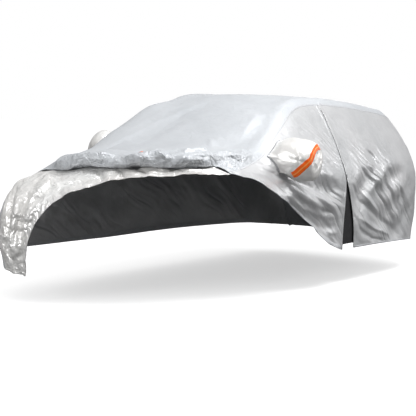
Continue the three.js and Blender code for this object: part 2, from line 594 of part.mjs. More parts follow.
const cover = new THREE.Group();
cover.name = "car_cover";
const hung = new THREE.Group(); // everything in the car's own measures
hung.add(
  sheet("front_panel", foil, frontPlace, FRONT_ROWS, TOP_COLUMNS),
  sheet("roof_panel", paleCloth, roofPlace, ALL_ROOF_ROWS, TOP_COLUMNS),
  sheet("tail_panel", paleCloth, tailPlace, TAIL_ROWS, TOP_COLUMNS),
  sheet("right_side_panel", greyCloth, rightPlace, ...rightRows, CLOTH, RIGHT_HOLE),
  sheet("left_front_side_panel", greyCloth, leftFrontPlace, ...leftFrontRows, CLOTH, LEFT_HOLE),
  sheet("left_rear_side_panel", greyCloth, leftRearPlace, LEFT_REAR_ROWS, LEFT_COLUMNS),
  sheet("left_mirror_pocket", foil, leftPocketPlace, POCKET_CELLS, POCKET_CELLS),
  sheet("right_mirror_pocket", foil, rightPocketPlace, POCKET_CELLS, POCKET_CELLS),
  sheet("left_reflective_strip", orange, pocketStrip(leftPocketPlace, LEFT_STRIP), ...STRIP_CELLS, TAPE),
  sheet("right_reflective_strip", orange, pocketStrip(rightPocketPlace, RIGHT_STRIP), ...STRIP_CELLS, TAPE),
  sheet("zip_tape_front", charcoal, frontTapePlace, ...TAPE_CELLS, TAPE),
  sheet("zip_tape_rear", charcoal, rearTapePlace, ...TAPE_CELLS, TAPE),
  sheet("zip_guard", black, guardPlace, ...GUARD_CELLS, TAPE),
  slider(),
  sheet("lip_tab", orange, ribbonPlace(roofPlace, TAB, TAB_WIDTH, TAB_LIFT), ...TAB_CELLS, TAPE),
);

const roofTop = surface(MOUNT_STATION, 0);
hung.position.set(-roofTop.x, -roofTop.y, -roofTop.z + CLOTH / 2);
cover.add(hung);

export default cover;
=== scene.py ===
# %% [markdown]
# # A fitted car cover
# The cover is thin cloth that hangs on a compact estate car. The car is left out, so the cover is a
# hollow shell. The frame holds its cut pieces as smooth, coarse sheets. Here each sheet gets the fine
# shape of real cloth: folds, crumples, turned hems, sewn seams, a zip with teeth, and cloth finishes.
# The frame is loaded first, because every piece below starts from one of its sheets.

# %% load the frame
import math

import bmesh
import bpy
import numpy as np
from mathutils import Matrix, Vector, noise
from mathutils.bvhtree import BVHTree


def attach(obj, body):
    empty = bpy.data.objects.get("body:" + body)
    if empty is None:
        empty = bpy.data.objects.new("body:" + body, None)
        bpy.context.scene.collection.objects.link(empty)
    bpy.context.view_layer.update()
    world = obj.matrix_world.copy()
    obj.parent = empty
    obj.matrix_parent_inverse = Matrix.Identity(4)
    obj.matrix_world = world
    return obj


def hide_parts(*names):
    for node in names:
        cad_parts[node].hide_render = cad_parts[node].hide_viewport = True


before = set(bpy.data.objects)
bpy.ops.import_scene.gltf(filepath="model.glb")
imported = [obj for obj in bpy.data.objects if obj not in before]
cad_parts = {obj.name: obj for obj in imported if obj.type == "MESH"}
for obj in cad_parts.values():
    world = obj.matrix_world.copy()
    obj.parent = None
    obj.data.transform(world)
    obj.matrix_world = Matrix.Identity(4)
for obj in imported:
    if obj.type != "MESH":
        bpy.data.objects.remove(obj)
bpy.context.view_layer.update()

# %% [markdown]
# Sizes on a car are easiest to think of from its front axle and the ground. This helper turns such a
# place, in millimetres, into the frame's own metres, whose origin is under the roof cloth.

# %% places on the car
AXLE_ON_GROUND = Vector((0, -1.8152, -1.503088))


def on_car(x, y, z):
    return Vector((x, y, z)) / 1000 + AXLE_ON_GROUND


# %% [markdown]
# ## Camera
# The camera stands ahead of the car's left front corner, a little above its bonnet, with a long lens.
# A long lens from seven metres keeps the cover's lines almost parallel. The camera is turned a few
# degrees about its own axis, so the cover climbs slightly to the right.

# %% camera
EYE = on_car(4446, -6652, 1316)
AIM = on_car(1007, -810, 756)
ROLL = math.radians(2.799)
LENS, SENSOR = 97.6, 36  # millimetres
SEES_TO = 400  # metres


def looking(eye, aim, roll=0.0):
    back = (eye - aim).normalized()
    level = Vector((0, 0, 1)).cross(back).normalized()
    up = back.cross(level)
    right = level * math.cos(roll) + up * math.sin(roll)
    turned = Matrix((right, back.cross(right), back)).transposed().to_4x4()
    return Matrix.Translation(eye) @ turned


camera_data = bpy.data.cameras.new("camera")
camera_data.lens = LENS
camera_data.sensor_width = SENSOR
camera_data.clip_end = SEES_TO
camera = bpy.data.objects.new("camera", camera_data)
camera.matrix_world = looking(EYE, AIM, ROLL)
bpy.context.scene.collection.objects.link(camera)
bpy.context.scene.camera = camera
print("camera at", tuple(round(c, 3) for c in EYE))

# %% [markdown]
# ## Light and floor
# Silver cloth shows its folds only if the light on it changes with direction. A very large soft light
# overhead, a second one from the front left and a dim sky do that without hard shadows. The sky is a
# little darker near the horizon, so that folds which face down go grey, as they do over a real floor.


# %% lights
def soft_light(name, place, aim, size, watts):
    data = bpy.data.lights.new(name, "AREA")
    data.shape = "DISK"
    data.size = size
    data.energy = watts
    lamp = bpy.data.objects.new(name, data)
    lamp.matrix_world = looking(place, aim)
    bpy.context.scene.collection.objects.link(lamp)


MIDDLE = on_car(0, 1000, 800)
soft_light("overhead", on_car(2300, 900, 5200), MIDDLE, 3.0, 250)
soft_light("front_right", on_car(-1800, -7200, 2300), MIDDLE, 2.5, 170)
soft_light("left_rear", on_car(5600, 6200, 2400), on_car(860, 2700, 800), 2.5, 90)
bpy.context.scene.view_settings.view_transform = "Standard"

# %% sky
HORIZON = (0.34, 0.34, 0.345, 1)
WHITE_FROM = 0.6  # height in the sky, 0 at the horizon and 1 overhead
SKY_STRENGTH = 0.62
world = bpy.data.worlds.new("studio")
bpy.context.scene.world = world
world.use_nodes = True
sky = world.node_tree
sky.nodes.clear()
sky_out = sky.nodes.new("ShaderNodeOutputWorld")
sky_light = sky.nodes.new("ShaderNodeBackground")
sky_seen = sky.nodes.new("ShaderNodeBackground")
sky_mix = sky.nodes.new("ShaderNodeMixShader")
sky_ray = sky.nodes.new("ShaderNodeLightPath")
sky_where = sky.nodes.new("ShaderNodeTexCoord")
sky_parts = sky.nodes.new("ShaderNodeSeparateXYZ")
sky_ramp = sky.nodes.new("ShaderNodeValToRGB")
sky_ramp.color_ramp.elements[0].position = 0.0
sky_ramp.color_ramp.elements[0].color = HORIZON
sky_ramp.color_ramp.elements[1].position = WHITE_FROM
sky_ramp.color_ramp.elements[1].color = (1, 1, 1, 1)
sky_seen.inputs["Color"].default_value = (1, 1, 1, 1)
sky_seen.inputs["Strength"].default_value = 1.0
sky_light.inputs["Strength"].default_value = SKY_STRENGTH
sky.links.new(sky_where.outputs["Generated"], sky_parts.inputs[0])
sky.links.new(sky_parts.outputs["Z"], sky_ramp.inputs["Fac"])
sky.links.new(sky_ramp.outputs["Color"], sky_light.inputs["Color"])
sky.links.new(sky_ray.outputs["Is Camera Ray"], sky_mix.inputs["Fac"])
sky.links.new(sky_light.outputs[0], sky_mix.inputs[1])
sky.links.new(sky_seen.outputs[0], sky_mix.inputs[2])
sky.links.new(sky_mix.outputs[0], sky_out.inputs["Surface"])

# %% [markdown]
# ## Finishes
# Real silver cover cloth is a thin film on non-woven backing. Seen close it has a fine grain, a bit
# further off a net of small crumples, and over a whole panel the shade drifts. Each of these effects
# is a shader node group, built once, so that every finish can use it with its own values.


# %% a helper for node groups
def node_group(name, inputs, outputs):
    group = bpy.data.node_groups.new(name, "ShaderNodeTree")
    for label, kind, value in inputs:
        socket = group.interface.new_socket(label, in_out="INPUT", socket_type=kind)
        if value is not None:
            socket.default_value = value
    for label, kind in outputs:
        group.interface.new_socket(label, in_out="OUTPUT", socket_type=kind)
    return group, group.nodes.new("NodeGroupInput"), group.nodes.new("NodeGroupOutput")


def add(tree, kind, settings=None, **inputs):
    """A node with its settings, and its inputs given as values or as sockets to link."""
    node = tree.nodes.new(kind)
    for key, value in (settings or {}).items():
        setattr(node, key, value)
    for key, value in inputs.items():
        label = key.replace("_", " ")
        socket = node.inputs[int(label[1:])] if label[1:].isdigit() else node.inputs[label]
        if isinstance(value, bpy.types.NodeSocket):
            tree.links.new(value, socket)
        else:
            socket.default_value = value
    return node


def maths(tree, operation, a, b=0.0, clamp=False):
    return add(tree, "ShaderNodeMath", {"operation": operation, "use_clamp": clamp}, i0=a, i1=b).outputs[0]


# %% [markdown]
# **Crumple.** A sheet of foil that was folded up small keeps sharp little ridges. Ridged noise, which is
# the fold of a smooth noise about its middle, has such ridges; two sizes of it are summed, and both are
# bent by a slower noise so that the ridges don't run straight.

# %% crumple group
crumple, c_in, c_out = node_group(
    "crumple",
    [("Vector", "NodeSocketVector", None), ("Scale", "NodeSocketFloat", 10.0),
     ("Fine", "NodeSocketFloat", 0.5)],
    [("Height", "NodeSocketFloat"), ("Ridge", "NodeSocketFloat")],
)
bend = add(crumple, "ShaderNodeTexNoise", Vector=c_in.outputs["Vector"], Scale=6.0, Detail=2.0)
bent = add(crumple, "ShaderNodeVectorMath", {"operation": "MULTIPLY_ADD"}, i0=bend.outputs["Color"],
           i1=(0.12, 0.12, 0.12), i2=c_in.outputs["Vector"])
heights = []
for factor in (1.0, 2.7):
    size = maths(crumple, "MULTIPLY", c_in.outputs["Scale"], factor)
    wave = add(crumple, "ShaderNodeTexNoise", Vector=bent.outputs[0], Scale=size, Detail=1.0, Roughness=0.4)
    centred = maths(crumple, "SUBTRACT", wave.outputs["Fac"], 0.5)
    heights.append(maths(crumple, "MULTIPLY", maths(crumple, "ABSOLUTE", centred), 3.0))
fine_part = maths(crumple, "MULTIPLY", heights[1], c_in.outputs["Fine"])
crumple.links.new(maths(crumple, "ADD", heights[0], fine_part), c_out.inputs["Height"])
crumple.links.new(maths(crumple, "SUBTRACT", 1.0, heights[0], True), c_out.inputs["Ridge"])

# %% [markdown]
# **Grain.** The film takes on the texture of the cloth under it: a fine square weave, with threads about
# a millimetre apart. Two crossed waves make the weave and a small noise breaks it up.

# %% grain group
grain, g_in, g_out = node_group(
    "grain",
    [("Vector", "NodeSocketVector", None), ("Threads", "NodeSocketFloat", 500.0),
     ("Speckle", "NodeSocketFloat", 0.4)],
    [("Height", "NodeSocketFloat")],
)
weave = []
for direction in ("X", "Y", "Z"):
    band = add(grain, "ShaderNodeTexWave", {"wave_type": "BANDS", "bands_direction": direction},
               Vector=g_in.outputs["Vector"], Scale=g_in.outputs["Threads"], Distortion=0.6, Detail=1.0)
    weave.append(band.outputs["Fac"])
summed = maths(grain, "ADD", maths(grain, "ADD", weave[0], weave[1]), weave[2])
crossed = maths(grain, "MULTIPLY", summed, 0.33)
dots = add(grain, "ShaderNodeTexNoise", Vector=g_in.outputs["Vector"], Scale=900.0, Detail=2.0)
dotted = maths(grain, "MULTIPLY", dots.outputs["Fac"], g_in.outputs["Speckle"])
grain.links.new(maths(grain, "ADD", crossed, dotted), g_out.inputs["Height"])

# %% [markdown]
# **Drift.** Film cloth isn't one even grey. Dust, folds pressed in the packing and uneven coating make
# the shade drift over a few decimetres. The group gives a slow mask from 0 to 1 with a few finer spots.

# %% drift group
drift, d_in, d_out = node_group(
    "drift",
    [("Vector", "NodeSocketVector", None), ("Scale", "NodeSocketFloat", 2.0)],
    [("Mask", "NodeSocketFloat")],
)
clouds = add(drift, "ShaderNodeTexNoise", Vector=d_in.outputs["Vector"], Scale=d_in.outputs["Scale"],
             Detail=5.0, Roughness=0.62)
steeper = add(drift, "ShaderNodeMapRange", Value=clouds.outputs["Fac"])
steeper.inputs["From Min"].default_value = 0.3
steeper.inputs["From Max"].default_value = 0.7
drift.links.new(steeper.outputs["Result"], d_out.inputs["Mask"])

# %% [markdown]
# **Streaks.** Cloth that is pulled gets narrow creases along the pull. They are the same ridged noise on
# places that are squeezed along the pull: on the sides of the cover it runs back and down, by a slope.

# %% streaks group
streaks, s_in, s_out = node_group(
    "streaks",
    [("Vector", "NodeSocketVector", None), ("Slope", "NodeSocketFloat", 0.6),
     ("Scale", "NodeSocketFloat", 20.0)],
    [("Height", "NodeSocketFloat")],
)
split = add(streaks, "ShaderNodeSeparateXYZ", Vector=s_in.outputs["Vector"])
fan = add(streaks, "ShaderNodeTexNoise", Vector=s_in.outputs["Vector"], Scale=1.6, Detail=1.0)
fanned = maths(streaks, "MULTIPLY", fan.outputs["Fac"], 0.35)
down = maths(streaks, "MULTIPLY", split.outputs["Y"], s_in.outputs["Slope"])
over = maths(streaks, "ADD", maths(streaks, "ADD", split.outputs["Z"], down), fanned)
along = maths(streaks, "MULTIPLY", split.outputs["Y"], 0.11)
squeezed = add(streaks, "ShaderNodeCombineXYZ", X=along, Y=over)
lines = add(streaks, "ShaderNodeTexNoise", Vector=squeezed.outputs[0], Scale=s_in.outputs["Scale"],
            Detail=1.5, Roughness=0.45)
centred = maths(streaks, "ABSOLUTE", maths(streaks, "SUBTRACT", lines.outputs["Fac"], 0.5))
streaks.links.new(maths(streaks, "MULTIPLY", centred, 3.0), s_out.inputs["Height"])

# %% [markdown]
# **The finish of a cloth** puts these together. Its colour runs between two shades by the drift, its
# roughness changes on the crumple's ridges, where the film is rubbed, and one bump carries crumple and
# grain at their own depths.


# %% cloth finish
PER_METRE = 1000  # the bump counts its heights in millimetres
CRUSHED_FINE = 0.6


def finish(name):
    material = bpy.data.materials.new(name)
    material.use_nodes = True
    tree = material.node_tree
    shader = tree.nodes["Principled BSDF"]
    where = tree.nodes.new("ShaderNodeTexCoord").outputs["Object"]
    return material, tree, shader, where


def placed(tree, group, **inputs):
    node = tree.nodes.new("ShaderNodeGroup")
    node.node_tree = group
    for key, value in inputs.items():
        if isinstance(value, bpy.types.NodeSocket):
            tree.links.new(value, node.inputs[key])
        else:
            node.inputs[key].default_value = value
    return node


def blended(tree, mask, low, high):
    node = add(tree, "ShaderNodeMix", {"data_type": "RGBA"})
    tree.links.new(mask, node.inputs["Factor"])
    node.inputs["A"].default_value = (*low, 1)
    node.inputs["B"].default_value = (*high, 1)
    return next(out for out in node.outputs if out.type == "RGBA")


def spanned(tree, mask, low, high):
    return add(tree, "ShaderNodeMapRange", Value=mask, To_Min=low, To_Max=high).outputs["Result"]


def worked_height(tree, height, extra, worked, depth):
    """The height, with an extra one where the cloth is worked; the depth is in metres."""
    masked = maths(tree, "MULTIPLY", extra.outputs["Height"], worked)
    return maths(tree, "ADD", height, maths(tree, "MULTIPLY", masked, depth * PER_METRE))


def cloth_finish(name, dark, light, metal, rough, crumple_scale, crumple_depth, fine=0.5,
                 grain_depth=0.00006, pulled=None, crushed=None):
    material, tree, shader, where = finish(name)
    shade = placed(tree, drift, Vector=where, Scale=2.2)
    creases = placed(tree, crumple, Vector=where, Scale=crumple_scale, Fine=fine)
    threads = placed(tree, grain, Vector=where)
    tree.links.new(blended(tree, shade.outputs["Mask"], dark, light), shader.inputs["Base Color"])
    tree.links.new(spanned(tree, creases.outputs["Ridge"], *rough), shader.inputs["Roughness"])
    shader.inputs["Metallic"].default_value = metal
    deep = maths(tree, "MULTIPLY", creases.outputs["Height"], crumple_depth * PER_METRE)
    fine_height = maths(tree, "MULTIPLY", threads.outputs["Height"], grain_depth * PER_METRE)
    height = maths(tree, "ADD", deep, fine_height)
    worked = add(tree, "ShaderNodeAttribute", {"attribute_name": "worked"}).outputs["Fac"]
    if pulled:
        slope, count, depth = pulled
        pull = placed(tree, streaks, Vector=where, Slope=slope, Scale=count)
        height = worked_height(tree, height, pull, worked, depth)
    if crushed:
        count, depth = crushed
        crush = placed(tree, crumple, Vector=where, Scale=count, Fine=CRUSHED_FINE)
        height = worked_height(tree, height, crush, worked, depth)
    bump = add(tree, "ShaderNodeBump", Height=height, Strength=1.0, Distance=1 / PER_METRE)
    tree.links.new(bump.outputs["Normal"], shader.inputs["Normal"])
    return material


foil_cloth = cloth_finish(
    "foil_cloth", (0.80, 0.78, 0.755), (0.97, 0.97, 0.96), 0.50, (0.26, 0.42), 6.5, 0.007,
    fine=0.3, crushed=(9.0, 0.010))
silver_cloth = cloth_finish(
    "silver_cloth", (0.49, 0.51, 0.535), (0.57, 0.59, 0.615), 0.25, (0.44, 0.56), 7.0, 0.0025,
    crushed=(11.5, 0.013))
side_cloth = cloth_finish(
    "side_cloth", (0.54, 0.55, 0.56), (0.65, 0.65, 0.66), 0.45, (0.34, 0.46), 8.0, 0.002,
    pulled=(0.55, 8.5, 0.017))
# The guard cloth's near-black colour is painted shade, for the dark seen through the open slit.
guard_cloth = cloth_finish(
    "guard_cloth", (0.006, 0.006, 0.008), (0.014, 0.014, 0.016), 0.0, (0.75, 0.9), 12.0, 0.001)
print("cloth finishes:", [m.name for m in (foil_cloth, silver_cloth, side_cloth, guard_cloth)])


# %% [markdown]
# **Small finishes.** The reflective tape is orange, with a thin pale line of glass beads along its
# middle; the line follows the tape, so it comes from a value called across that is stored on the mesh,
# 0 on one edge and 1 on the other. Thread, zip tape and metal are plain finishes with a fine grain.

# %% tape, thread and metal
ORANGE, DEEP_ORANGE, BEADS = (1.0, 0.14, 0.0, 1), (0.75, 0.09, 0.0, 1), (1.0, 0.52, 0.16, 1)
TAPE_SHADES = ((0.06, ORANGE), (0.43, ORANGE), (0.47, BEADS), (0.53, BEADS), (0.57, ORANGE), (0.94, ORANGE))


def tape_finish():
    material, tree, shader, where = finish("orange_tape")
    across = add(tree, "ShaderNodeAttribute", {"attribute_name": "across"}).outputs["Fac"]
    ramp = add(tree, "ShaderNodeValToRGB", Fac=across)
    steps = ramp.color_ramp
    steps.interpolation = "EASE"
    for end in (0, 1):
        steps.elements[end].position, steps.elements[end].color = end, DEEP_ORANGE
    for place, colour in TAPE_SHADES:
        steps.elements.new(place).color = colour
    tree.links.new(ramp.outputs["Color"], shader.inputs["Base Color"])
    threads = placed(tree, grain, Vector=where, Threads=320.0, Speckle=0.7)
    wear = placed(tree, drift, Vector=where, Scale=40.0)
    tree.links.new(spanned(tree, wear.outputs["Mask"], 0.28, 0.45), shader.inputs["Roughness"])
    bump = add(tree, "ShaderNodeBump", Height=threads.outputs["Height"], Strength=0.6, Distance=0.0003)
    tree.links.new(bump.outputs["Normal"], shader.inputs["Normal"])
    return material


def small_finish(name, dark, light, metal, rough, threads, depth):
    material, tree, shader, where = finish(name)
    spots = placed(tree, drift, Vector=where, Scale=60.0)
    tree.links.new(blended(tree, spots.outputs["Mask"], dark, light), shader.inputs["Base Color"])
    tree.links.new(spanned(tree, spots.outputs["Mask"], *rough), shader.inputs["Roughness"])
    shader.inputs["Metallic"].default_value = metal
    height = placed(tree, grain, Vector=where, Threads=threads, Speckle=0.6)
    bump = add(tree, "ShaderNodeBump", Height=height.outputs["Height"], Strength=0.7, Distance=depth)
    tree.links.new(bump.outputs["Normal"], shader.inputs["Normal"])
    return material


orange_tape = tape_finish()
zip_tape = small_finish("zip_tape", (0.02, 0.02, 0.023), (0.04, 0.04, 0.045), 0.0, (0.7, 0.9), 420.0, 0.0004)
zip_metal = small_finish(
    "zip_metal", (0.30, 0.31, 0.33), (0.52, 0.53, 0.55), 0.9, (0.3, 0.5), 150.0, 0.0001)
tooth_plastic = small_finish(
    "tooth_plastic", (0.012, 0.012, 0.014), (0.03, 0.03, 0.034), 0.0, (0.35, 0.55), 150.0, 0.0001)
thread = small_finish("thread", (0.52, 0.53, 0.55), (0.7, 0.71, 0.73), 0.0, (0.5, 0.7), 900.0, 0.0002)
hem_cloth = small_finish(
    "hem_cloth", (0.50, 0.51, 0.53), (0.62, 0.63, 0.65), 0.35, (0.40, 0.52), 300.0, 0.0003)
small_finishes = (orange_tape, zip_tape, zip_metal, tooth_plastic, thread, hem_cloth)
print("small finishes:", [m.name for m in small_finishes])

# %% [markdown]
# ## Cloth from the frame's sheets
# Each sheet in the frame is closed: an outer layer, an inner layer 2 mm inside it and a rim between. To
# shape cloth, one layer is enough, and a Solidify modifier gives the thickness back at the end. So a copy
# of the sheet is merged, the narrow rim faces go, and of the two layers left the outer one is kept. Its
# triangles are joined in pairs, because subdivision is smoothest on squares.

# %% outer layer of a sheet
RIM_EDGE = 0.0026
SAME_POINT = 0.00005
CORE_FRONT, CORE_REAR = on_car(0, -100, 700), on_car(0, 2700, 700)


def car_core(point):
    """The place inside the car that a spot on the cover looks away from."""
    return Vector((0, min(max(point.y, CORE_FRONT.y), CORE_REAR.y), CORE_FRONT.z))


def outer_layer(node):
    layer = bmesh.new()
    layer.from_mesh(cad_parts[node].data)
    bmesh.ops.remove_doubles(layer, verts=layer.verts, dist=SAME_POINT)
    rim = [f for f in layer.faces if min(e.calc_length() for e in f.edges) < RIM_EDGE]
    bmesh.ops.delete(layer, geom=rim, context="FACES")
    left, islands = set(layer.faces), []
    while left:
        todo, island = [next(iter(left))], []
        left.discard(todo[0])
        while todo:
            face = todo.pop()
            island.append(face)
            for edge in face.edges:
                for other in edge.link_faces:
                    if other in left:
                        left.discard(other)
                        todo.append(other)
        islands.append(island)

    def outwards(island):
        total = 0
        for face in island:
            middle = face.calc_center_median()
            total += (middle - car_core(middle)).dot(face.normal) * face.calc_area()
        return total

    keep = set(max(islands, key=outwards))
    bmesh.ops.delete(layer, geom=[f for f in layer.faces if f not in keep], context="FACES")
    bmesh.ops.join_triangles(layer, faces=layer.faces[:], angle_face_threshold=math.pi,
                             angle_shape_threshold=math.pi)
    odd = sum(len(f.verts) != 4 for f in layer.faces)
    print(f"{node}: {len(islands)} layers, {len(layer.faces)} faces kept, {odd} not square")
    return layer


# %% [markdown]
# Subdivision Surface rounds a mesh by pulling it inwards, which would make the cover smaller than the
# frame. So the control points are first pushed out, a few times over, until the smooth surface passes
# through the sheet's own points. A vertex group called sewn marks the edges that meet another sheet.
# It is subdivided with the mesh, so it fades inwards, and later keeps the seams closed.

# %% smooth surface through a layer
SEWN_WITHIN = 0.006


def tree_of(mesh):
    """A ray tree, which finds the nearest place on a mesh."""
    return BVHTree.FromPolygons([v.co for v in mesh.vertices], [tuple(p.vertices) for p in mesh.polygons])


cloth_nodes = [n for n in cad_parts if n.endswith(("panel", "pocket")) or n.startswith("zip_tape")]
node_trees = {n: tree_of(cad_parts[n].data) for n in cloth_nodes}
PUSHES = 6


def points_of(mesh):
    flat = np.empty(len(mesh.vertices) * 3, np.float32)
    mesh.vertices.foreach_get("co", flat)
    return flat.reshape(-1, 3).astype(float)


def normals_of(mesh):
    flat = np.empty(len(mesh.vertices) * 3, np.float32)
    mesh.vertex_normals.foreach_get("vector", flat)
    return flat.reshape(-1, 3).astype(float)


def move_points(mesh, points):
    mesh.vertices.foreach_set("co", points.astype(np.float32).ravel())
    mesh.update()


def as_shown(obj):
    bpy.context.view_layer.update()
    graph = bpy.context.evaluated_depsgraph_get()
    return bpy.data.meshes.new_from_object(
        obj.evaluated_get(graph), preserve_all_data_layers=True, depsgraph=graph)


def smooth_layer(node, levels=3):
    mesh = bpy.data.meshes.new(node + "_control")
    layer = outer_layer(node)
    border = [v.index for v in layer.verts if v.is_boundary]
    layer.to_mesh(mesh)
    layer.free()
    control = bpy.data.objects.new(node + "_control", mesh)
    bpy.context.scene.collection.objects.link(control)
    sewn = control.vertex_groups.new(name="sewn")
    others = [tree for n, tree in node_trees.items() if n != node]
    seam = [i for i in border if any(t.find_nearest(mesh.vertices[i].co, SEWN_WITHIN)[0] for t in others)]
    sewn.add(seam, 1.0, "REPLACE")
    subdivide = control.modifiers.new("subdivide", "SUBSURF")
    subdivide.boundary_smooth = "PRESERVE_CORNERS"
    subdivide.levels = subdivide.render_levels = 1
    target = points_of(mesh)
    for _ in range(PUSHES):
        reached = as_shown(control)
        move_points(mesh, points_of(mesh) + target - points_of(reached)[: len(target)])
        bpy.data.meshes.remove(reached)
    subdivide.levels = subdivide.render_levels = levels
    smooth = as_shown(control)
    off = np.linalg.norm(points_of(smooth)[: len(target)] - target, axis=1).max()
    weights = np.zeros(len(smooth.vertices))
    for vertex in smooth.vertices:
        for entry in vertex.groups:
            weights[vertex.index] = entry.weight
    bpy.data.objects.remove(control)
    print(f"{node}: {len(smooth.vertices)} points, {len(seam)} on seams, {off * 1000:.2f} mm off the sheet")
    return smooth, weights


# %% [markdown]
# ## Folds
# A fold in hanging cloth is a long ridge or trough with a narrow back and wide flanks, which dies out
# at both ends. Its own weight makes it sag, so the flank that faces the ground is the steeper one. Each
# fold is a line of places with a height and a half width. A point of the cloth moves along its own
# normal by the sum of the folds near it, and near a sewn edge it hardly moves.


# %% folds along lines
SAG = 0.42
FADE_AT_ENDS = 0.25  # share of a fold's length in which it rises from nothing
FLANK = 1.4  # 2 would be a bell curve; less gives a sharper back


def ease(x):
    x = np.clip(x, 0, 1)
    return x * x * (3 - 2 * x)


def steps_off(points, line):
    """For each step of a line: how far along it each point is, from 0 to 1, and the way off it."""
    for a, b in zip(line[:-1], line[1:]):
        step = b - a
        t = np.clip((points - a) @ step / max(step @ step, 1e-12), 0, 1)
        yield t, points - a - t[:, None] * step


def distance_to(points, line):
    nearest = np.full(len(points), np.inf)
    for _, off in steps_off(points, line):
        nearest = np.minimum(nearest, np.linalg.norm(off, axis=1))
    return nearest


def fold_heights(points, folds):
    total = np.zeros(len(points))
    for height, half_width, line in folds:
        line = np.array([on_car(*place) for place in line])
        nearest, share, above = np.full(len(points), np.inf), np.zeros(len(points)), np.zeros(len(points))
        for i, (t, off) in enumerate(steps_off(points, line)):
            away = np.linalg.norm(off, axis=1)
            share = np.where(away < nearest, (i + t) / (len(line) - 1), share)
            above = np.where(away < nearest, off[:, 2] / np.maximum(away, 0.001), above)
            nearest = np.minimum(nearest, away)
        ends = ease(share / FADE_AT_ENDS) * ease((1 - share) / FADE_AT_ENDS)
        reach = half_width / 1000 * (1 + SAG * above * math.copysign(1, height))
        total += height / 1000 * ends * np.exp(-((nearest / reach) ** FLANK))
    return total


def near_lines(points, lines):
    """1 on the lines and 0 far from them; a line is (half width mm, places)."""
    total = np.zeros(len(points))
    for half_width, line in lines:
        nearest = distance_to(points, np.array([on_car(*place) for place in line]))
        total = np.maximum(total, np.exp(-((nearest / half_width * 1000) ** 2)))
    return total


# %% [markdown]
# Between the big folds the cloth is never flat. Ridged noise, drawn out along the way the cloth is
# pulled, gives it small creases: a pull of 1 leaves them round, as in crumpled foil, and a pull of 6
# makes them long and narrow, as in cloth that hangs from a seam.


# %% creases between the folds
def crease_heights(points, height, size, pull_way, pull, seed, octaves=2):
    """Creases of a height and a size in metres, drawn out along a way; the seed picks the noise."""
    way = Vector(pull_way).normalized()
    shift = Vector((seed * 3.7, seed * 1.9, seed * 5.3))
    made = np.empty(len(points))
    for i, point in enumerate(points):
        spot = Vector(point) / size
        spot -= way * spot.dot(way) * (1 - 1 / pull)
        made[i] = noise.ridged_multi_fractal(spot + shift, 1.0, 2.1, octaves, 0.9, 1.6)
    made -= made.mean()
    return height * made


# %% [markdown]
# A finished cloth gets its wall from Solidify, inwards from the outer layer, and is shaded smooth. The
# Weighted Normal modifier lets the wide faces set the shading, so that the thin rim makes no bright line.
# It stands for its node in the frame, which is hidden, and takes its finish as its material.


# %% a finished cloth
WIDE_FACES_LEAD = 80  # 50 is neutral, and more gives the wide faces more say


def make_piece(name, mesh, material, nodes=()):
    mesh.name = name
    mesh.materials.clear()
    mesh.materials.append(material)
    mesh.polygons.foreach_set("use_smooth", [True] * len(mesh.polygons))
    piece = bpy.data.objects.new(name, mesh)
    bpy.context.scene.collection.objects.link(piece)
    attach(piece, "root")
    if nodes:
        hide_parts(*nodes)
    return piece


def thicken(piece, thickness):
    wall = piece.modifiers.new("wall", "SOLIDIFY")
    wall.thickness = thickness
    wall.offset = -1
    shading = piece.modifiers.new("shading", "WEIGHTED_NORMAL")
    shading.weight = WIDE_FACES_LEAD


def mesh_from(made, name):
    mesh = bpy.data.meshes.new(name)
    made.to_mesh(mesh)
    made.free()
    return mesh


# %% [markdown]
# ## Bands, hems and stitches
# Everything sewn on a cover follows an edge of cloth. So the next helpers find the edge between two
# corners, as a line of places with the cloth's own direction outwards at each, and space it evenly.


# %% lines along an edge
def next_on_edge(here, before):
    """The next point of a cloth's edge, away from the one before."""
    ways = [e.other_vert(here) for e in here.link_edges if e.is_boundary]
    return next(point for point in ways if point is not before)


def places_of(line):
    return np.array([v.co for v in line]), np.array([v.normal for v in line])


def border_line(mesh, start, end, via):
    """The edge of a cloth from the corner near start to the one near end, on the side that passes via."""
    edges = bmesh.new()
    edges.from_mesh(mesh)
    ring = [v for v in edges.verts if v.is_boundary]

    def closest(place):
        return min(ring, key=lambda v: (v.co - place).length_squared)

    first, last, middle = closest(start), closest(end), closest(via)
    best = None
    for edge in [e for e in first.link_edges if e.is_boundary]:
        line, here = [first], edge.other_vert(first)
        while here is not last and here is not first:
            line.append(here)
            here = next_on_edge(here, line[-2])
        if here is last and middle in line:
            best = line + [last]
    if best is None:
        raise ValueError("no edge from start to end by that way")
    places = places_of(best)
    edges.free()
    return places


def long_edges(mesh):
    """The two long edges of a strip of cloth, both from the same end."""
    strip = bmesh.new()
    strip.from_mesh(mesh)
    corners = [v for v in strip.verts if len(v.link_faces) == 1]
    chains = []
    for corner in corners:
        for edge in [e for e in corner.link_edges if e.is_boundary]:
            chain = [corner, edge.other_vert(corner)]
            while chain[-1] not in corners:
                chain.append(next_on_edge(chain[-1], chain[-2]))
            chains.append(chain)
    longest = max(len(chain) for chain in chains)
    long_ones = [chain for chain in chains if len(chain) == longest]
    first = long_ones[0]
    other = min((c for c in long_ones if c[0] not in (first[0], first[-1])),
                key=lambda c: (c[0].co - first[0].co).length)
    lines = [places_of(first), places_of(other)]
    strip.free()
    return lines


def border_loop(mesh):
    """The whole edge of a cloth with one edge, back to its start."""
    edges = bmesh.new()
    edges.from_mesh(mesh)
    line = [next(v for v in edges.verts if v.is_boundary)]
    line.append(next(e.other_vert(line[0]) for e in line[0].link_edges if e.is_boundary))
    while line[-1] is not line[0]:
        line.append(next_on_edge(line[-1], line[-2]))
    places = places_of(line)
    edges.free()
    return places


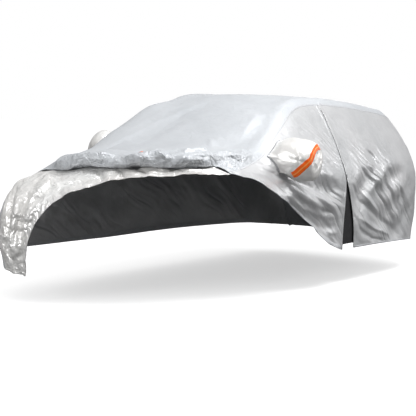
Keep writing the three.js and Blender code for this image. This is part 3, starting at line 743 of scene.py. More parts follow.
def evenly(line, pitch, trim=0.0):
    """The line again, with a point at every pitch, less a length at both ends."""
    places, outward = line
    run = np.concatenate([[0], np.cumsum(np.linalg.norm(np.diff(places, axis=0), axis=1))])
    marks = np.linspace(trim, run[-1] - trim, max(2, round((run[-1] - 2 * trim) / pitch) + 1))
    spaced, facing_out = (
        np.stack([np.interp(marks, run, part[:, k]) for k in range(3)], 1) for part in (places, outward))
    return spaced, facing_out / np.linalg.norm(facing_out, axis=1)[:, None]


def sideways(line):
    places, outward = line
    along = np.gradient(places, axis=0)
    side = np.cross(outward, along)
    return side / np.linalg.norm(side, axis=1)[:, None]


# %% [markdown]
# **A band** is a grid rolled up: its columns become the points of a closed section, its rows run along
# the line, and the two open ends are filled. It makes every seam binding of the cover.

# %% band along a line
def band(line, section):
    """A solid along a line. The section's points are (sideways, outwards) in metres."""
    places, outward = line
    side = sideways(line)
    rows, count = len(places), len(section)
    made = bmesh.new()
    bmesh.ops.create_grid(made, x_segments=rows - 1, y_segments=count, size=1)
    for vertex in made.verts:
        i = round((vertex.co.x + 1) / 2 * (rows - 1))
        j = round((vertex.co.y + 1) / 2 * count) % count
        vertex.co = Vector(places[i] + side[i] * section[j][0] + outward[i] * section[j][1])
    bmesh.ops.remove_doubles(made, verts=made.verts, dist=0.00001)
    bmesh.ops.holes_fill(made, edges=[e for e in made.edges if e.is_boundary], sides=count)
    bmesh.ops.recalc_face_normals(made, faces=made.faces)
    return made


def flat_section(width, proud, sunk, soft=0.3):
    """A low section: flat on top, with rounded shoulders, from sunk below the line to proud above it."""
    half, inner = width / 2, width / 2 * (1 - soft)
    return [(-half, -sunk), (half, -sunk), (half, proud * 0.3), (inner, proud), (0, proud * 1.1),
            (-inner, proud), (-half, proud * 0.3)]


def joined(shapes, name):
    whole = bmesh.new()
    for shape in shapes:
        mesh = mesh_from(shape, "part")
        whole.from_mesh(mesh)
        bpy.data.meshes.remove(mesh)
    return mesh_from(whole, name)


# %% [markdown]
# **A hem** is the cloth's own edge turned over and sewn down. Its outer side is a copy of the rows of faces
# next to the edge, lifted by the second thickness of cloth, so that it keeps every fold of the panel. Its
# edge row reaches a millimetre past the cloth, so that the cloth's raw edge is inside it.

# %% hem of a panel
HEM_LIFT = 0.0013
HEM_PAST = 0.0011


def hem_of(mesh, line, rows=2):
    made = bmesh.new()
    made.from_mesh(mesh)
    made.verts.ensure_lookup_table()
    keys = {tuple(round(c, 5) for c in place) for place in line[0]}
    ring = {v for v in made.verts if v.is_boundary and tuple(round(c, 5) for c in v.co) in keys}
    edge, strip = set(ring), set()
    for _ in range(rows):
        strip |= {f for v in ring for f in v.link_faces}
        ring = {v for f in strip for v in f.verts}
    for vertex in edge:
        inner = [e.other_vert(vertex) for e in vertex.link_edges if not e.is_boundary]
        inward = sum((other.co - vertex.co for other in inner), Vector())
        if inward.length:
            vertex.co -= inward.normalized() * HEM_PAST
    for vertex in ring:
        vertex.co += vertex.normal * HEM_LIFT
    bmesh.ops.delete(made, geom=[f for f in made.faces if f not in strip], context="FACES")
    return made


# %% [markdown]
# **Stitches** are laid on with one small capsule, repeated. Each is turned along its line and sits on the
# cloth under it, which a ray tree of that cloth finds.

# %% stitches
STITCH_SIZE = (0.0021, 0.0006, 0.0005)  # half of its length, width and height
STITCH_PITCH = 0.0085
STITCHES_STOP = 0.012  # short of the end of a seam
capsule = bmesh.new()
bmesh.ops.create_icosphere(capsule, subdivisions=1, radius=1, matrix=Matrix.Diagonal((*STITCH_SIZE, 1)))
STITCH = mesh_from(capsule, "stitch")


def stamped(shape, matrices, name):
    """One mesh with a copy of the shape at every matrix."""
    whole = bmesh.new()
    for matrix in matrices:
        copy = shape.copy()
        copy.transform(matrix)
        whole.from_mesh(copy)
        bpy.data.meshes.remove(copy)
    return mesh_from(whole, name)


def facing(place, along, outward):
    along = Vector(along).normalized()
    outward = Vector(outward)
    outward = (outward - along * outward.dot(along)).normalized()
    turned = Matrix((along, outward.cross(along), outward)).transposed().to_4x4()
    return Matrix.Translation(place) @ turned


def stitch_row(line, offset, tree, lift=0.0001):
    places, outward = evenly(line, STITCH_PITCH, STITCHES_STOP)
    along, side = np.gradient(places, axis=0), sideways((places, outward))
    row = []
    for place, way, step in zip(places, along, side):
        spot, normal, _, _ = tree.find_nearest(Vector(place + step * offset))
        row.append(facing(spot + normal * lift, way, normal))
    return row


# %% [markdown]
# ## The panels
# Folds and creases for each panel, in millimetres from the front axle and the ground. On the left side
# the cloth is pulled from the mirror pocket back to the zip's foot, and behind the zip towards the
# rear wheel. The front cloth hangs in upright folds over the nose and is crumpled all over, because it
# was pushed there by hand. The windscreen cloth is nearly smooth.

# %% folds of the left side
# A fold is a height and a half width, both in millimetres, and its places on the car.
LEFT_FRONT_FOLDS = [
    (-19, 19, [(760, 380, 940), (800, 520, 925), (835, 690, 885), (856, 900, 840), (864, 1130, 790),
               (866, 1440, 745)]),
    (14, 17, [(790, 520, 890), (840, 700, 830), (862, 960, 750), (866, 1230, 680), (866, 1430, 640)]),
    (-19, 17, [(800, 470, 900), (845, 640, 790), (864, 800, 715), (866, 1180, 630), (866, 1430, 590)]),
    (11, 15, [(845, 620, 755), (862, 820, 660), (866, 1100, 590), (864, 1440, 560)]),
    (-22, 20, [(840, 520, 770), (863, 640, 705), (868, 807, 630), (861, 1180, 505), (861, 1470, 500)]),
    (14, 19, [(862, 760, 590), (864, 1000, 510), (862, 1300, 450), (860, 1500, 430)]),
    (-13, 15, [(862, 1000, 560), (862, 1250, 430), (860, 1480, 340)]),
    (11, 15, [(864, 1150, 470), (862, 1400, 340), (860, 1560, 300)]),
    (-11, 17, [(770, 620, 1190), (720, 900, 1240), (690, 1200, 1260)]),
    (10, 19, [(800, 820, 1080), (770, 1100, 1130), (740, 1400, 1170)]),
    (-10, 17, [(850, 840, 960), (840, 1150, 985), (820, 1480, 1010)]),
]
LEFT_REAR_FOLDS = [
    (-19, 20, [(780, 1800, 1080), (848, 1948, 935), (867, 2277, 735), (858, 2640, 498), (850, 2760, 380)]),
    (13, 17, [(800, 1960, 1060), (860, 2160, 900), (866, 2440, 700), (856, 2760, 450)]),
    (-19, 20, [(770, 2080, 1130), (823, 2247, 1022), (861, 2418, 840), (860, 2717, 604), (845, 2973, 357)]),
    (13, 17, [(800, 2400, 1040), (858, 2580, 850), (856, 2830, 600), (842, 3020, 380)]),
    (-16, 19, [(790, 2440, 1060), (848, 2501, 927), (861, 2744, 777), (841, 3074, 487)]),
    (-22, 22, [(862, 1640, 850), (867, 1906, 680), (862, 2317, 529), (847, 2921, 338)]),
    (14, 20, [(866, 1760, 820), (868, 2100, 640), (862, 2560, 460), (848, 2900, 360)]),
    (11, 17, [(862, 1800, 560), (862, 2200, 430), (855, 2700, 330)]),
    (-11, 17, [(862, 1820, 480), (860, 2200, 350), (856, 2500, 310)]),
]

# %% folds of the nose and the lip
FRONT_FOLDS = [
    (-30, 18, [(-90, -440, 945), (-65, -478, 929), (42, -586, 871), (108, -642, 850)]),
    (7, 16, [(-50, -440, 945), (-13, -469, 932), (107, -587, 869), (150, -620, 850)]),
    (-30, 16, [(60, -390, 945), (83, -431, 937), (186, -527, 886), (220, -560, 860)]),
    (7, 14, [(110, -380, 948), (135, -425, 938), (234, -493, 895), (270, -520, 880)]),
    (-30, 16, [(150, -340, 945), (185, -379, 937), (300, -416, 912), (367, -373, 915)]),
    (7, 14, [(230, -330, 945), (273, -353, 942), (335, -325, 932), (399, -304, 940)]),
    (11, 16, [(400, -350, 917), (484, -248, 934), (581, -150, 946), (650, -70, 940)]),
    (-11, 14, [(404, -247, 936), (470, -190, 950), (585, -93, 955)]),
    (-18, 24, [(-300, -887, 603), (-271, -867, 704), (-238, -799, 783), (-267, -627, 843)]),
    (19, 26, [(-368, -877, 397), (-328, -882, 554), (-245, -877, 673), (-176, -823, 762)]),
    (-19, 24, [(-429, -883, 358), (-412, -882, 527), (-400, -852, 659), (-381, -797, 746)]),
    (16, 22, [(-326, -682, 840), (-228, -729, 815), (-114, -817, 767)]),
    (-16, 20, [(-307, -845, 733), (-250, -860, 720), (-198, -865, 710)]),
    (16, 20, [(-468, -870, 588), (-385, -867, 595), (-276, -894, 560)]),
    (-14, 18, [(-500, -850, 480), (-464, -880, 489), (-388, -877, 482), (-330, -880, 500)]),
    (-14, 18, [(-540, -820, 300), (-462, -861, 272), (-387, -871, 328), (-330, -870, 380)]),
    (-9, 18, [(-330, -830, 150), (-330, -870, 420), (-335, -800, 700), (-380, -560, 880)]),
    (8, 18, [(-400, -840, 150), (-405, -880, 450), (-420, -780, 760), (-470, -500, 890)]),
    (-10, 20, [(-490, -820, 180), (-500, -850, 470), (-520, -740, 730), (-560, -440, 880)]),
    (8, 20, [(-580, -790, 200), (-600, -810, 460), (-620, -700, 700), (-650, -480, 800)]),
    (-8, 16, [(-260, -900, 640), (-240, -820, 800), (-250, -620, 900), (-300, -420, 930)]),
    (7, 16, [(-180, -880, 690), (-150, -780, 830), (-160, -560, 910), (-230, -380, 940)]),
    (-8, 18, [(-80, -840, 760), (-40, -700, 860), (-60, -500, 920), (-130, -330, 950)]),
    (8, 18, [(60, -700, 820), (70, -560, 880), (40, -420, 930), (-20, -300, 955)]),
    (-7, 18, [(200, -560, 870), (180, -440, 910), (130, -300, 945)]),
    (7, 16, [(330, -470, 890), (300, -360, 920), (240, -240, 950)]),
]
ROOF_FOLDS = [
    (24, 26, [(-471, -461, 902), (-313, -553, 934), (-186, -523, 989), (-56, -462, 1007), (41, -401, 1015)]),
    (-24, 24, [(-292, -511, 887), (-187, -517, 921), (-57, -502, 956), (24, -467, 975)]),
    (21, 22, [(56, -421, 1003), (155, -423, 1006), (248, -428, 1005), (306, -408, 998)]),
    (-21, 20, [(129, -441, 974), (246, -436, 972), (317, -399, 986)]),
    (27, 30, [(292, -365, 1044), (332, -352, 1026), (364, -339, 1020), (407, -320, 1012),
              (438, -296, 1019)]),
    (30, 26, [(424, -226, 1054), (450, -150, 1060), (490, -80, 1066), (530, 0, 1067)]),
    (-36, 22, [(470, -271, 1027), (512, -214, 1033), (550, -147, 1038), (567, -96, 1039)]),
    (27, 22, [(471, -294, 990), (505, -250, 1003), (545, -188, 1014), (571, -114, 1012)]),
    (-21, 18, [(483, -263, 971), (531, -214, 987), (563, -138, 992)]),
    (10, 24, [(499, 1, 1068), (400, 200, 1075), (300, 395, 1105), (212, 505, 1160)]),
    (-12, 22, [(605, 60, 1045), (632, 119, 1034), (659, 158, 1015), (690, 190, 985)]),
    (9, 24, [(605, 451, 1080), (664, 261, 1028), (676, 158, 995)]),
    (-9, 30, [(-143, -420, 1020), (-300, -100, 1040), (-480, 143, 1026), (-446, 284, 1072),
              (-391, 361, 1098)]),
    (7, 40, [(-522, 101, 1016), (-445, 371, 1110), (-321, 653, 1250), (-198, 885, 1361),
             (-126, 1034, 1424)]),
    (-5, 34, [(-312, 249, 1057), (-206, 551, 1185), (-50, 795, 1319)]),
    (6, 34, [(453, 542, 1144), (426, 732, 1255), (381, 932, 1355)]),
    (10, 24, [(-330, -560, 960), (-260, -420, 1010), (-150, -260, 1020), (-60, -60, 1030)]),
    (-9, 20, [(-200, -560, 960), (-140, -420, 1020), (-40, -260, 1030)]),
    (9, 22, [(60, -500, 960), (80, -330, 1030), (110, -120, 1040)]),
    (-10, 20, [(180, -470, 960), (200, -330, 1030), (240, -120, 1040)]),
    (12, 26, [(300, -420, 970), (330, -260, 1040), (400, -60, 1050), (470, 120, 1050)]),
    (-10, 22, [(400, -330, 980), (440, -190, 1040), (500, 20, 1050)]),
    (10, 22, [(520, -230, 980), (540, -100, 1030), (580, 80, 1040)]),
    (5, 40, [(-520, 350, 1080), (-420, 700, 1280), (-240, 1080, 1440), (-60, 1400, 1490)]),
    (-4, 36, [(-300, 420, 1130), (-180, 800, 1320), (0, 1200, 1470)]),
    (5, 36, [(420, 260, 1080), (430, 600, 1210), (380, 1000, 1390)]),
    (-4, 34, [(560, 330, 1060), (520, 640, 1200), (440, 1050, 1400)]),
]
RIGHT_FOLDS = [
    (-10, 24, [(-760, 500, 1000), (-840, 900, 860), (-864, 1400, 700), (-866, 1900, 620)]),
    (9, 24, [(-780, 420, 900), (-850, 800, 740), (-866, 1300, 560), (-864, 1800, 460)]),
    (-10, 24, [(-780, -300, 760), (-840, 0, 600), (-860, 500, 420), (-858, 900, 330)]),
    (8, 22, [(-760, -400, 600), (-840, -150, 470), (-858, 250, 350)]),
    (-12, 26, [(-790, 2060, 1100), (-862, 2380, 820), (-858, 2760, 520), (-845, 2960, 340)]),
    (9, 24, [(-800, 2330, 1040), (-862, 2620, 760), (-848, 2980, 420)]),
    (-10, 24, [(-860, 1640, 880), (-867, 2100, 640), (-858, 2760, 380)]),
]
TAIL_FOLDS = [
    (-8, 40, [(-480, 3100, 1350), (-300, 3420, 950), (-200, 3500, 620)]),
    (-8, 40, [(480, 3100, 1350), (320, 3420, 950), (200, 3500, 620)]),
    (8, 36, [(-380, 3150, 1330), (-180, 3440, 950), (-80, 3500, 600)]),
    (8, 36, [(380, 3150, 1330), (180, 3440, 950), (100, 3500, 600)]),
    (-9, 30, [(-40, 3500, 700), (-20, 3500, 480), (0, 3500, 300)]),
]
every_fold = LEFT_FRONT_FOLDS + LEFT_REAR_FOLDS + FRONT_FOLDS + ROOF_FOLDS + RIGHT_FOLDS + TAIL_FOLDS
print("folds:", len(every_fold), "heights", min(every_fold)[0], "to", max(every_fold)[0], "mm")

# %% [markdown]
# The crumples of the foil and of the lip are made the same way: ridged creases of three sizes, each about
# half as deep as the one before. On the roof cloth they are kept to the lip, by its distance from the
# lip's line; the cloth behind it is nearly smooth.

# %% the six panels
LIP_LINE = [(-520, -560, 930), (-330, -560, 960), (-150, -520, 965), (60, -490, 970), (200, -450, 975),
            (320, -390, 980), (430, -310, 985), (530, -220, 990), (620, -80, 985), (690, 80, 965)]
LIP_AREA = [(120, LIP_LINE), (90, [(300, -365, 1044), (380, -310, 1020), (440, -296, 1010)]),
            (110, [(590, -40, 1010), (640, 150, 1010), (600, 330, 1060)])]
FOIL_CRUMPLE = [(0.0100, 0.17, (-0.3, 0.5, 0.8), 2.0, 1), (0.0050, 0.08, (-0.2, 0.3, 0.9), 1.5, 2),
                (0.0016, 0.036, (0, 0, 1), 1.2, 8)]
LIP_CRUMPLE = [(0.012, 0.14, (0.5, 0.6, 0.2), 2.4, 9), (0.007, 0.06, (0.5, 0.5, 0.3), 2.0, 10)]
# name: node, finish, slot, folds, creases over the whole cloth, (area, creases) where it is crumpled
PANELS = {
    "front_cloth": ("front_panel", foil_cloth, "foil_cloth", FRONT_FOLDS, FOIL_CRUMPLE, None),
    "roof_cloth": ("roof_panel", silver_cloth, "silver_cloth", ROOF_FOLDS,
                   [(0.0022, 0.30, (0.35, 0.8, 0.4), 4.0, 3)], (LIP_AREA, LIP_CRUMPLE)),
    "tail_cloth": ("tail_panel", silver_cloth, "silver_cloth", TAIL_FOLDS,
                   [(0.004, 0.24, (0.1, 0, 1), 4.0, 4)], ([], [])),
    "right_side_cloth": ("right_side_panel", side_cloth, "side_cloth", RIGHT_FOLDS,
                         [(0.004, 0.20, (0, 1, -0.4), 4.0, 5), (0.0015, 0.08, (0, 1, -0.4), 3.0, 15)], None),
    "left_front_side_cloth": ("left_front_side_panel", side_cloth, "side_cloth", LEFT_FRONT_FOLDS,
                              [(0.003, 0.15, (0, 1, -0.3), 4.0, 6),
                               (0.0015, 0.07, (0, 1, -0.3), 3.0, 16)], None),
    "left_rear_side_cloth": ("left_rear_side_panel", side_cloth, "side_cloth", LEFT_REAR_FOLDS,
                             [(0.003, 0.18, (0, 0.9, -0.5), 4.0, 7),
                              (0.0015, 0.08, (0, 1, -0.5), 3.0, 17)], None),
    "left_pocket_cloth": ("left_mirror_pocket", foil_cloth, "foil_cloth", [],
                          [(0.0045, 0.11, (0.3, 0.2, 1), 1.6, 11),
                           (0.0010, 0.04, (0, 0, 1), 1.2, 12)], None),
    "right_pocket_cloth": ("right_mirror_pocket", foil_cloth, "foil_cloth", [],
                           [(0.0045, 0.09, (0.3, 0.2, 1), 1.8, 13),
                            (0.0018, 0.035, (0, 0, 1), 1.2, 14)], None),
}
SEAM_PUCKER = (0.0022, 0.03, (0, 0, 1), 1.0, 21, 1)
CLOTH_THICK = 0.0012
WORKED_REACH = 90
# The front cloth's edge under the lip is only tucked in, so from here to the left it may pleat.
TUCK_FREE_FROM = on_car(-400, 0, 0).x
TUCK_FADE = 0.12
FINER_BELOW = on_car(0, 0, 1130).z
made = {}


def finer_below(mesh, weights):
    """The faces in the lower part of a cloth are divided once more, as its folds are narrow there."""
    finer = bmesh.new()
    finer.from_mesh(mesh)
    held = finer.verts.layers.float.new("held")
    finer.verts.ensure_lookup_table()
    for vertex, weight in zip(finer.verts, weights):
        vertex[held] = weight
    lower = {e for f in finer.faces if f.calc_center_median().z < FINER_BELOW for e in f.edges}
    bmesh.ops.subdivide_edges(finer, edges=list(lower), cuts=1, smooth=1.0, use_grid_fill=True)
    finer.normal_update()
    spread = np.array([v[held] for v in finer.verts])
    finer.verts.layers.float.remove(held)
    return mesh_from(finer, mesh.name), spread


for name, (node, material, slot, folds, creases, area) in PANELS.items():
    surface, sewn = smooth_layer(node)
    if name == "left_rear_side_cloth":
        surface, sewn = finer_below(surface, sewn)
    places, outward = points_of(surface), normals_of(surface)
    if name == "front_cloth":
        sewn = sewn * ease((TUCK_FREE_FROM - places[:, 0]) / TUCK_FADE)
    height = fold_heights(places, folds)
    for values in creases:
        height += crease_heights(places, *values)
    if area:
        mask = near_lines(places, area[0])
        for values in area[1]:
            height += crease_heights(places, *values) * mask
    pucker = crease_heights(places, *SEAM_PUCKER) * 4 * sewn * (1 - sewn)
    height = height * (1 - ease(sewn)) + pucker
    worked = surface.attributes.new("worked", "FLOAT", "POINT")
    worked_lines = area[0] if area else [(WORKED_REACH, line) for _, _, line in folds]
    worked.data.foreach_set("value", near_lines(places, worked_lines))
    move_points(surface, places + outward * height[:, None])
    made[name] = make_piece(name, surface, material, [node])
    thicken(made[name], CLOTH_THICK)
    print(f"{name}: moved {height.min() * 1000:.1f} to {height.max() * 1000:.1f} mm")

# %% [markdown]
# ## Seams
# The shoulder seams join the roof cloth to the sides. A flat binding is sewn over each, with a row of
# stitches near both its edges. The binding follows the edge of the side cloth, which the folds leave
# where it is. The same binding closes the tail and the mouths of the mirror pockets.

# %% seams and their stitches
RIGHT_NOSE_CORNER, DRAWN_CORNER = (-585, -775, 200), (703, -20, 930)
ZIP_TOP_FRONT, ZIP_TOP_REAR, LEFT_REAR_CORNER = (566, 1588, 1435), (566, 1602, 1435), (560, 3455, 260)
SEAMS = {
    # name: panel, start, end, via
    "right_shoulder_seam": ("right_side_cloth", RIGHT_NOSE_CORNER, (-560, 3455, 260), (-567, 1700, 1437)),
    "left_front_shoulder_seam": ("left_front_side_cloth", DRAWN_CORNER, ZIP_TOP_FRONT, (640, 700, 1180)),
    "left_rear_shoulder_seam": ("left_rear_side_cloth", ZIP_TOP_REAR, LEFT_REAR_CORNER, (562, 2300, 1427)),
}
SHOULDER_BINDING, MOUTH_BINDING = 0.016, 0.014
BINDING_PROUD, BINDING_SUNK = 0.0013, 0.0022
BINDING_PITCH, BINDING_STOPS = 0.010, 0.004
STITCHES_AT = 0.3  # share of the binding's width, to each side of its middle
sewn_on = {name: [] for name in PANELS}
stitches = {name: [] for name in PANELS}


def bind(name, panel, line, width):
    line = evenly(line, BINDING_PITCH, BINDING_STOPS)
    binding = mesh_from(band(line, flat_section(width, BINDING_PROUD, BINDING_SUNK)), name)
    tree = tree_of(binding)
    sewn_on[panel].append(make_piece(name, binding, hem_cloth))
    for offset in (-STITCHES_AT * width, STITCHES_AT * width):
        stitches[panel] += stitch_row(line, offset, tree)
    print(name, len(line[0]), "rows")


for name, (panel, start, end, via) in SEAMS.items():
    line = border_line(made[panel].data, on_car(*start), on_car(*end), on_car(*via))
    bind(name, panel, line, SHOULDER_BINDING)
for side in ("left", "right"):
    pocket = f"{side}_pocket_cloth"
    bind(f"{side}_mouth_seam", pocket, border_loop(made[pocket].data), MOUTH_BINDING)

# %% [markdown]
# ## Hems
# The hems hold an elastic cord on a real cover; here they hang loose. Each is made from the rows of
# faces along the panel's free edge. The edges beside the zip are turned in the same way.

# %% hems and their stitches
FRONT_EDGE, SIDE_EDGE = (foil_cloth, "foil_cloth"), (hem_cloth, "side_cloth")
PLAIN_EDGE = (side_cloth, "side_cloth")
ZIP_FOOT_FRONT, ZIP_FOOT_REAR = (857, 1568, 300), (857, 1800, 300)
HEMS = {
    # name: panel, start, end, via, finish and slot
    "front_hem": ("front_cloth", RIGHT_NOSE_CORNER, DRAWN_CORNER, (200, -480, 700), FRONT_EDGE),
    "right_hem": ("right_side_cloth", (-745, -585, 256), (-708, 3385, 260), (-857, 1700, 300), SIDE_EDGE),
    "left_front_hem": ("left_front_side_cloth", (703, 0, 930), ZIP_FOOT_FRONT, (860, 1000, 400), SIDE_EDGE),
    "left_rear_hem": ("left_rear_side_cloth", ZIP_FOOT_REAR, (708, 3385, 260), (850, 2600, 300), SIDE_EDGE),
    "tail_hem": ("tail_cloth", (-560, 3455, 260), LEFT_REAR_CORNER, (0, 3500, 260), SIDE_EDGE),
    "zip_front_hem": (
        "left_front_side_cloth", ZIP_FOOT_FRONT, ZIP_TOP_FRONT, (859, 1566, 895), PLAIN_EDGE),
    "zip_rear_hem": ("left_rear_side_cloth", ZIP_FOOT_REAR, ZIP_TOP_REAR, (859, 1582, 895), PLAIN_EDGE),
}
STITCHES_IN = 0.016  # from the edge
STITCH_LIFT = 0.0002
for name, (panel, start, end, via, (material, slot)) in HEMS.items():
    line = border_line(made[panel].data, on_car(*start), on_car(*end), on_car(*via))
    turned = mesh_from(hem_of(made[panel].data, line), name)
    tree = tree_of(turned)
    inward = min((-STITCHES_IN, STITCHES_IN), key=lambda d: sum(
        tree.find_nearest(Vector(p))[3] for p in line[0] + sideways(line) * d))
    stitches[panel] += stitch_row(line, inward, tree, STITCH_LIFT)
    hem = make_piece(name, turned, material)
    thicken(hem, CLOTH_THICK + 2 * HEM_LIFT)
    sewn_on[panel].append(hem)
    print(name, len(line[0]), "places,", len(hem.data.polygons), "faces")

# %% lay the stitches
for panel, places in stitches.items():
    if places:
        name = f"{panel}_stitches"
        sewn_on[panel].append(make_piece(name, stamped(STITCH, places, name), thread))
print("stitches:", {panel: len(places) for panel, places in stitches.items()})

# %% [markdown]
# ## The door zip
# The zip lets a driver open the left front door with the cover on. Its two woven tapes are sewn to the
# cloth's turned edges. The row of teeth on each tape sits on its free edge; above the slider the two rows
# mesh, so one row is half a pitch behind the other, and below it they stand apart.

# %% tapes and teeth
TOOTH_PITCH = 0.0058
TEETH_START = 0.006
TAPE_THICK = 0.0008
TOOTH_PROUD = 0.0004


def block(size, place, bevel, segments=2):
    made = bmesh.new()
    bmesh.ops.create_cube(made, size=1, matrix=Matrix.Translation(place) @ Matrix.Diagonal((*size, 1)))
    bmesh.ops.bevel(made, geom=made.edges[:], offset=bevel, segments=segments, affect="EDGES",
                    profile=0.5, material=-1)
    return made


TOOTH = mesh_from(block((0.0024, 0.0046, 0.0030), (0, 0, 0), 0.0005, 1), "tooth")
zip_pieces = []
slit_lines = {}
for end, towards_slit in (("front", 1), ("rear", -1)):
    tape, _ = smooth_layer(f"zip_tape_{end}", levels=2)
    edges = sorted(long_edges(tape), key=lambda line: line[0][:, 1].mean() * towards_slit)
    slit = edges[-1]
    if slit[0][0][2] < slit[0][-1][2]:
        slit = slit[0][::-1], slit[1][::-1]
    slit_lines[end] = slit
    woven = make_piece(f"zip_{end}_tape", tape, zip_tape, [f"zip_tape_{end}"])
    thicken(woven, TAPE_THICK)
    places, outward = evenly(slit, TOOTH_PITCH, TEETH_START + (end == "rear") * TOOTH_PITCH / 2)
    ways = np.gradient(places, axis=0)
    rows = [facing(p + n * TOOTH_PROUD, way, n) for p, n, way in zip(places, outward, ways)]
    name = f"zip_{end}_teeth"
    teeth = make_piece(name, stamped(TOOTH, rows, name), tooth_plastic)
    zip_pieces += [woven, teeth]
    print(f"zip {end}: {len(rows)} teeth")

# %% [markdown]
# **The slider** sits where the open part begins. It is two plates joined by a post, with a bridge on the
# outer plate that carries the pull. The pull hangs straight down the open slit.

# %% slider
slider_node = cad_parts["zip_slider"]
slider_at = Vector(np.mean([v.co for v in slider_node.data.vertices], axis=0))
nearest = np.linalg.norm(slit_lines["front"][0] - np.array(slider_at), axis=1).argmin()
slit_way = slit_lines["front"][0][nearest + 2] - slit_lines["front"][0][nearest - 2]
slider_frame = facing(slider_at, slit_way, slit_lines["front"][1][nearest])


outer_plate = block((0.013, 0.009, 0.0016), (0, 0, 0.0014), 0.0006)
inner_plate = block((0.013, 0.009, 0.0014), (0, 0, -0.0042), 0.0006)
post = block((0.003, 0.0016, 0.0062), (-0.0045, 0, -0.0014), 0.0004, 1)
bridge = bmesh.new()
bmesh.ops.create_circle(bridge, segments=8, radius=0.0007,
                        matrix=Matrix.Translation((-0.0032, 0, 0.0020)) @ Matrix.Rotation(0, 4, "Y"))
bmesh.ops.spin(bridge, geom=bridge.edges[:], cent=(0, 0, 0.0020), axis=(0, 1, 0), angle=math.pi, steps=12)
bmesh.ops.recalc_face_normals(bridge, faces=bridge.faces)
pull = block((0.024, 0.0052, 0.0011), (0.0125, 0, 0.0046), 0.0005)
pull_grip = block((0.010, 0.0062, 0.0019), (0.0195, 0, 0.0046), 0.0008)
slider_mesh = joined([outer_plate, inner_plate, post, bridge, pull, pull_grip], "slider")
slider_mesh.transform(slider_frame)
slider = make_piece("slider", slider_mesh, zip_metal, ["zip_slider"])
zip_pieces.append(slider)
print("slider at", tuple(round(c, 3) for c in slider_at))

# %% [markdown]
# ** The guard** is a flap behind the slit, wider than the slit all the way down. Its near-black colour is
# painted shade: it makes the open slit as dark as shade in a gap. It hangs from the cloth behind the
# shoulder seam and is lightly creased.

# %% guard
GUARD_CREASES = (0.0016, 0.12, (0, 0, 1), 3.0, 31)
GUARD_THICK = 0.001
guard_mesh, _ = smooth_layer("zip_guard")
guard_places = points_of(guard_mesh)
guard_heights = crease_heights(guard_places, *GUARD_CREASES)
move_points(guard_mesh, guard_places + normals_of(guard_mesh) * guard_heights[:, None])
# The guard flap's black is painted shade seen through the open slit.
guard = make_piece("painted_shade_guard_flap", guard_mesh, guard_cloth, ["zip_guard"])
thicken(guard, GUARD_THICK)

# %% [markdown]
# ## Reflective tapes
# A bright tape is sewn slantwise across each mirror pocket, and a short end of the same tape peeks out
# on the lip. A tape follows the creases of the cloth under it: each of its points is laid on the cloth
# and lifted a little. The value across is a point's distance from one long edge as a share of the width.

# %% tapes
TAPE_LIFT = 0.0018
WRONG_SIDE = 0.02
tapes = {}
for name, node, under in (("left_bright_tape", "left_reflective_strip", "left_pocket_cloth"),
                          ("right_bright_tape", "right_reflective_strip", "right_pocket_cloth"),
                          ("lip_tape_end", "lip_tab", "roof_cloth")):
    tape, _ = smooth_layer(node)
    first, second = long_edges(tape)
    places = points_of(tape)
    near, far = distance_to(places, first[0]), distance_to(places, second[0])
    across = tape.attributes.new("across", "FLOAT", "POINT")
    across.data.foreach_set("value", near / (near + far))
    cloth = tree_of(made[under].data)
    for i, place in enumerate(places):
        spot, normal, _, _ = cloth.find_nearest(Vector(place))
        if normal.dot(Vector(place) - spot) < -WRONG_SIDE:
            normal = -normal
        places[i] = spot + normal * TAPE_LIFT
    move_points(tape, places)
    tapes[name] = make_piece(name, tape, orange_tape, [node])
    thicken(tapes[name], TAPE_THICK)
    print(name, len(places), "points, width", round(float(np.median(near + far)) * 1000, 1), "mm")
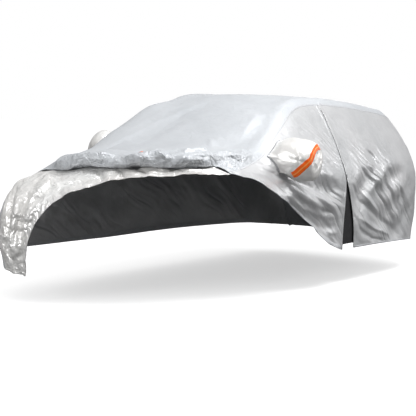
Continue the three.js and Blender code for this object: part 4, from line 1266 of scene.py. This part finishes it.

# %% [markdown]
# ## What each cloth is
# The table gives how large each piece was cut, how it is held now and what it rests on; a piece that is
# not a rectangle also has its flat area. The loops below only gather each cloth's sewn-on pieces and each
# tape's hold.

SHEETS = {
    "front_cloth": ((1.35, 1.45), 0.70, "draped", ["right_side_cloth", "roof_cloth"]),
    "roof_cloth": ((1.45, 4.3), 5.2, "draped", ["right_side_cloth", "left_rear_side_cloth"]),
    "tail_cloth": ((1.3, 1.3), 1.55, "hung", ["roof_cloth"]),
    "right_side_cloth": ((1.2, 4.7), 4.5, "hung", ["roof_cloth"]),
    "left_front_side_cloth": ((1.2, 1.75), 0.95, "hung", ["roof_cloth"]),
    "left_rear_side_cloth": ((1.25, 2.4), 2.45, "hung", ["roof_cloth"]),
    "left_pocket_cloth": ((0.56, 0.56), 0.27, "hung", ["left_front_side_cloth"]),
    "right_pocket_cloth": ((0.50, 0.50), 0.20, "hung", ["right_side_cloth"]),
}
for name, (flat, area, held, rests_on) in SHEETS.items():
    side = name.split("_")[0]
    extras = sewn_on[name] + [tapes[t] for t in tapes if t.startswith(side) and "pocket" in name]
    if name == "left_front_side_cloth":
        extras += zip_pieces
for name, flat in (("left_bright_tape", (0.052, 0.34)), ("right_bright_tape", (0.052, 0.36)),
                   ("lip_tape_end", (0.018, 0.032))):
    held = "laid" if name == "lip_tape_end" else "stretched"

# %% [markdown]
# ## The floor
# The cover casts its shadow on a wide white floor. The floor glows a little for the camera alone, so that
# it meets the white sky without an edge. The cloth sees it as dark ground, which greys the low folds.

# %% floor
FLOOR_RADIUS = 90
FLOOR_TO_CLOTH, FLOOR_TO_CAMERA = (0.14, 0.14, 0.14), (0.9, 0.9, 0.9)
FLOOR_GLOW = 0.55
disc = bmesh.new()
bmesh.ops.create_circle(disc, cap_ends=True, segments=64, radius=FLOOR_RADIUS,
                        matrix=Matrix.Translation(on_car(0, 1000, 0)))
floor = bpy.data.objects.new("floor", mesh_from(disc, "floor"))
bpy.context.scene.collection.objects.link(floor)
floor_finish, floor_tree, floor_shader, _ = finish("floor_finish")
seen = add(floor_tree, "ShaderNodeLightPath").outputs["Is Camera Ray"]
floor_colour = blended(floor_tree, seen, FLOOR_TO_CLOTH, FLOOR_TO_CAMERA)
floor_glow = blended(floor_tree, seen, (0, 0, 0), (1, 1, 1))
floor_tree.links.new(floor_colour, floor_shader.inputs["Base Color"])
floor_tree.links.new(floor_glow, floor_shader.inputs["Emission Color"])
floor_shader.inputs["Emission Strength"].default_value = FLOOR_GLOW
floor_shader.inputs["Roughness"].default_value = 0.9
floor.data.materials.append(floor_finish)
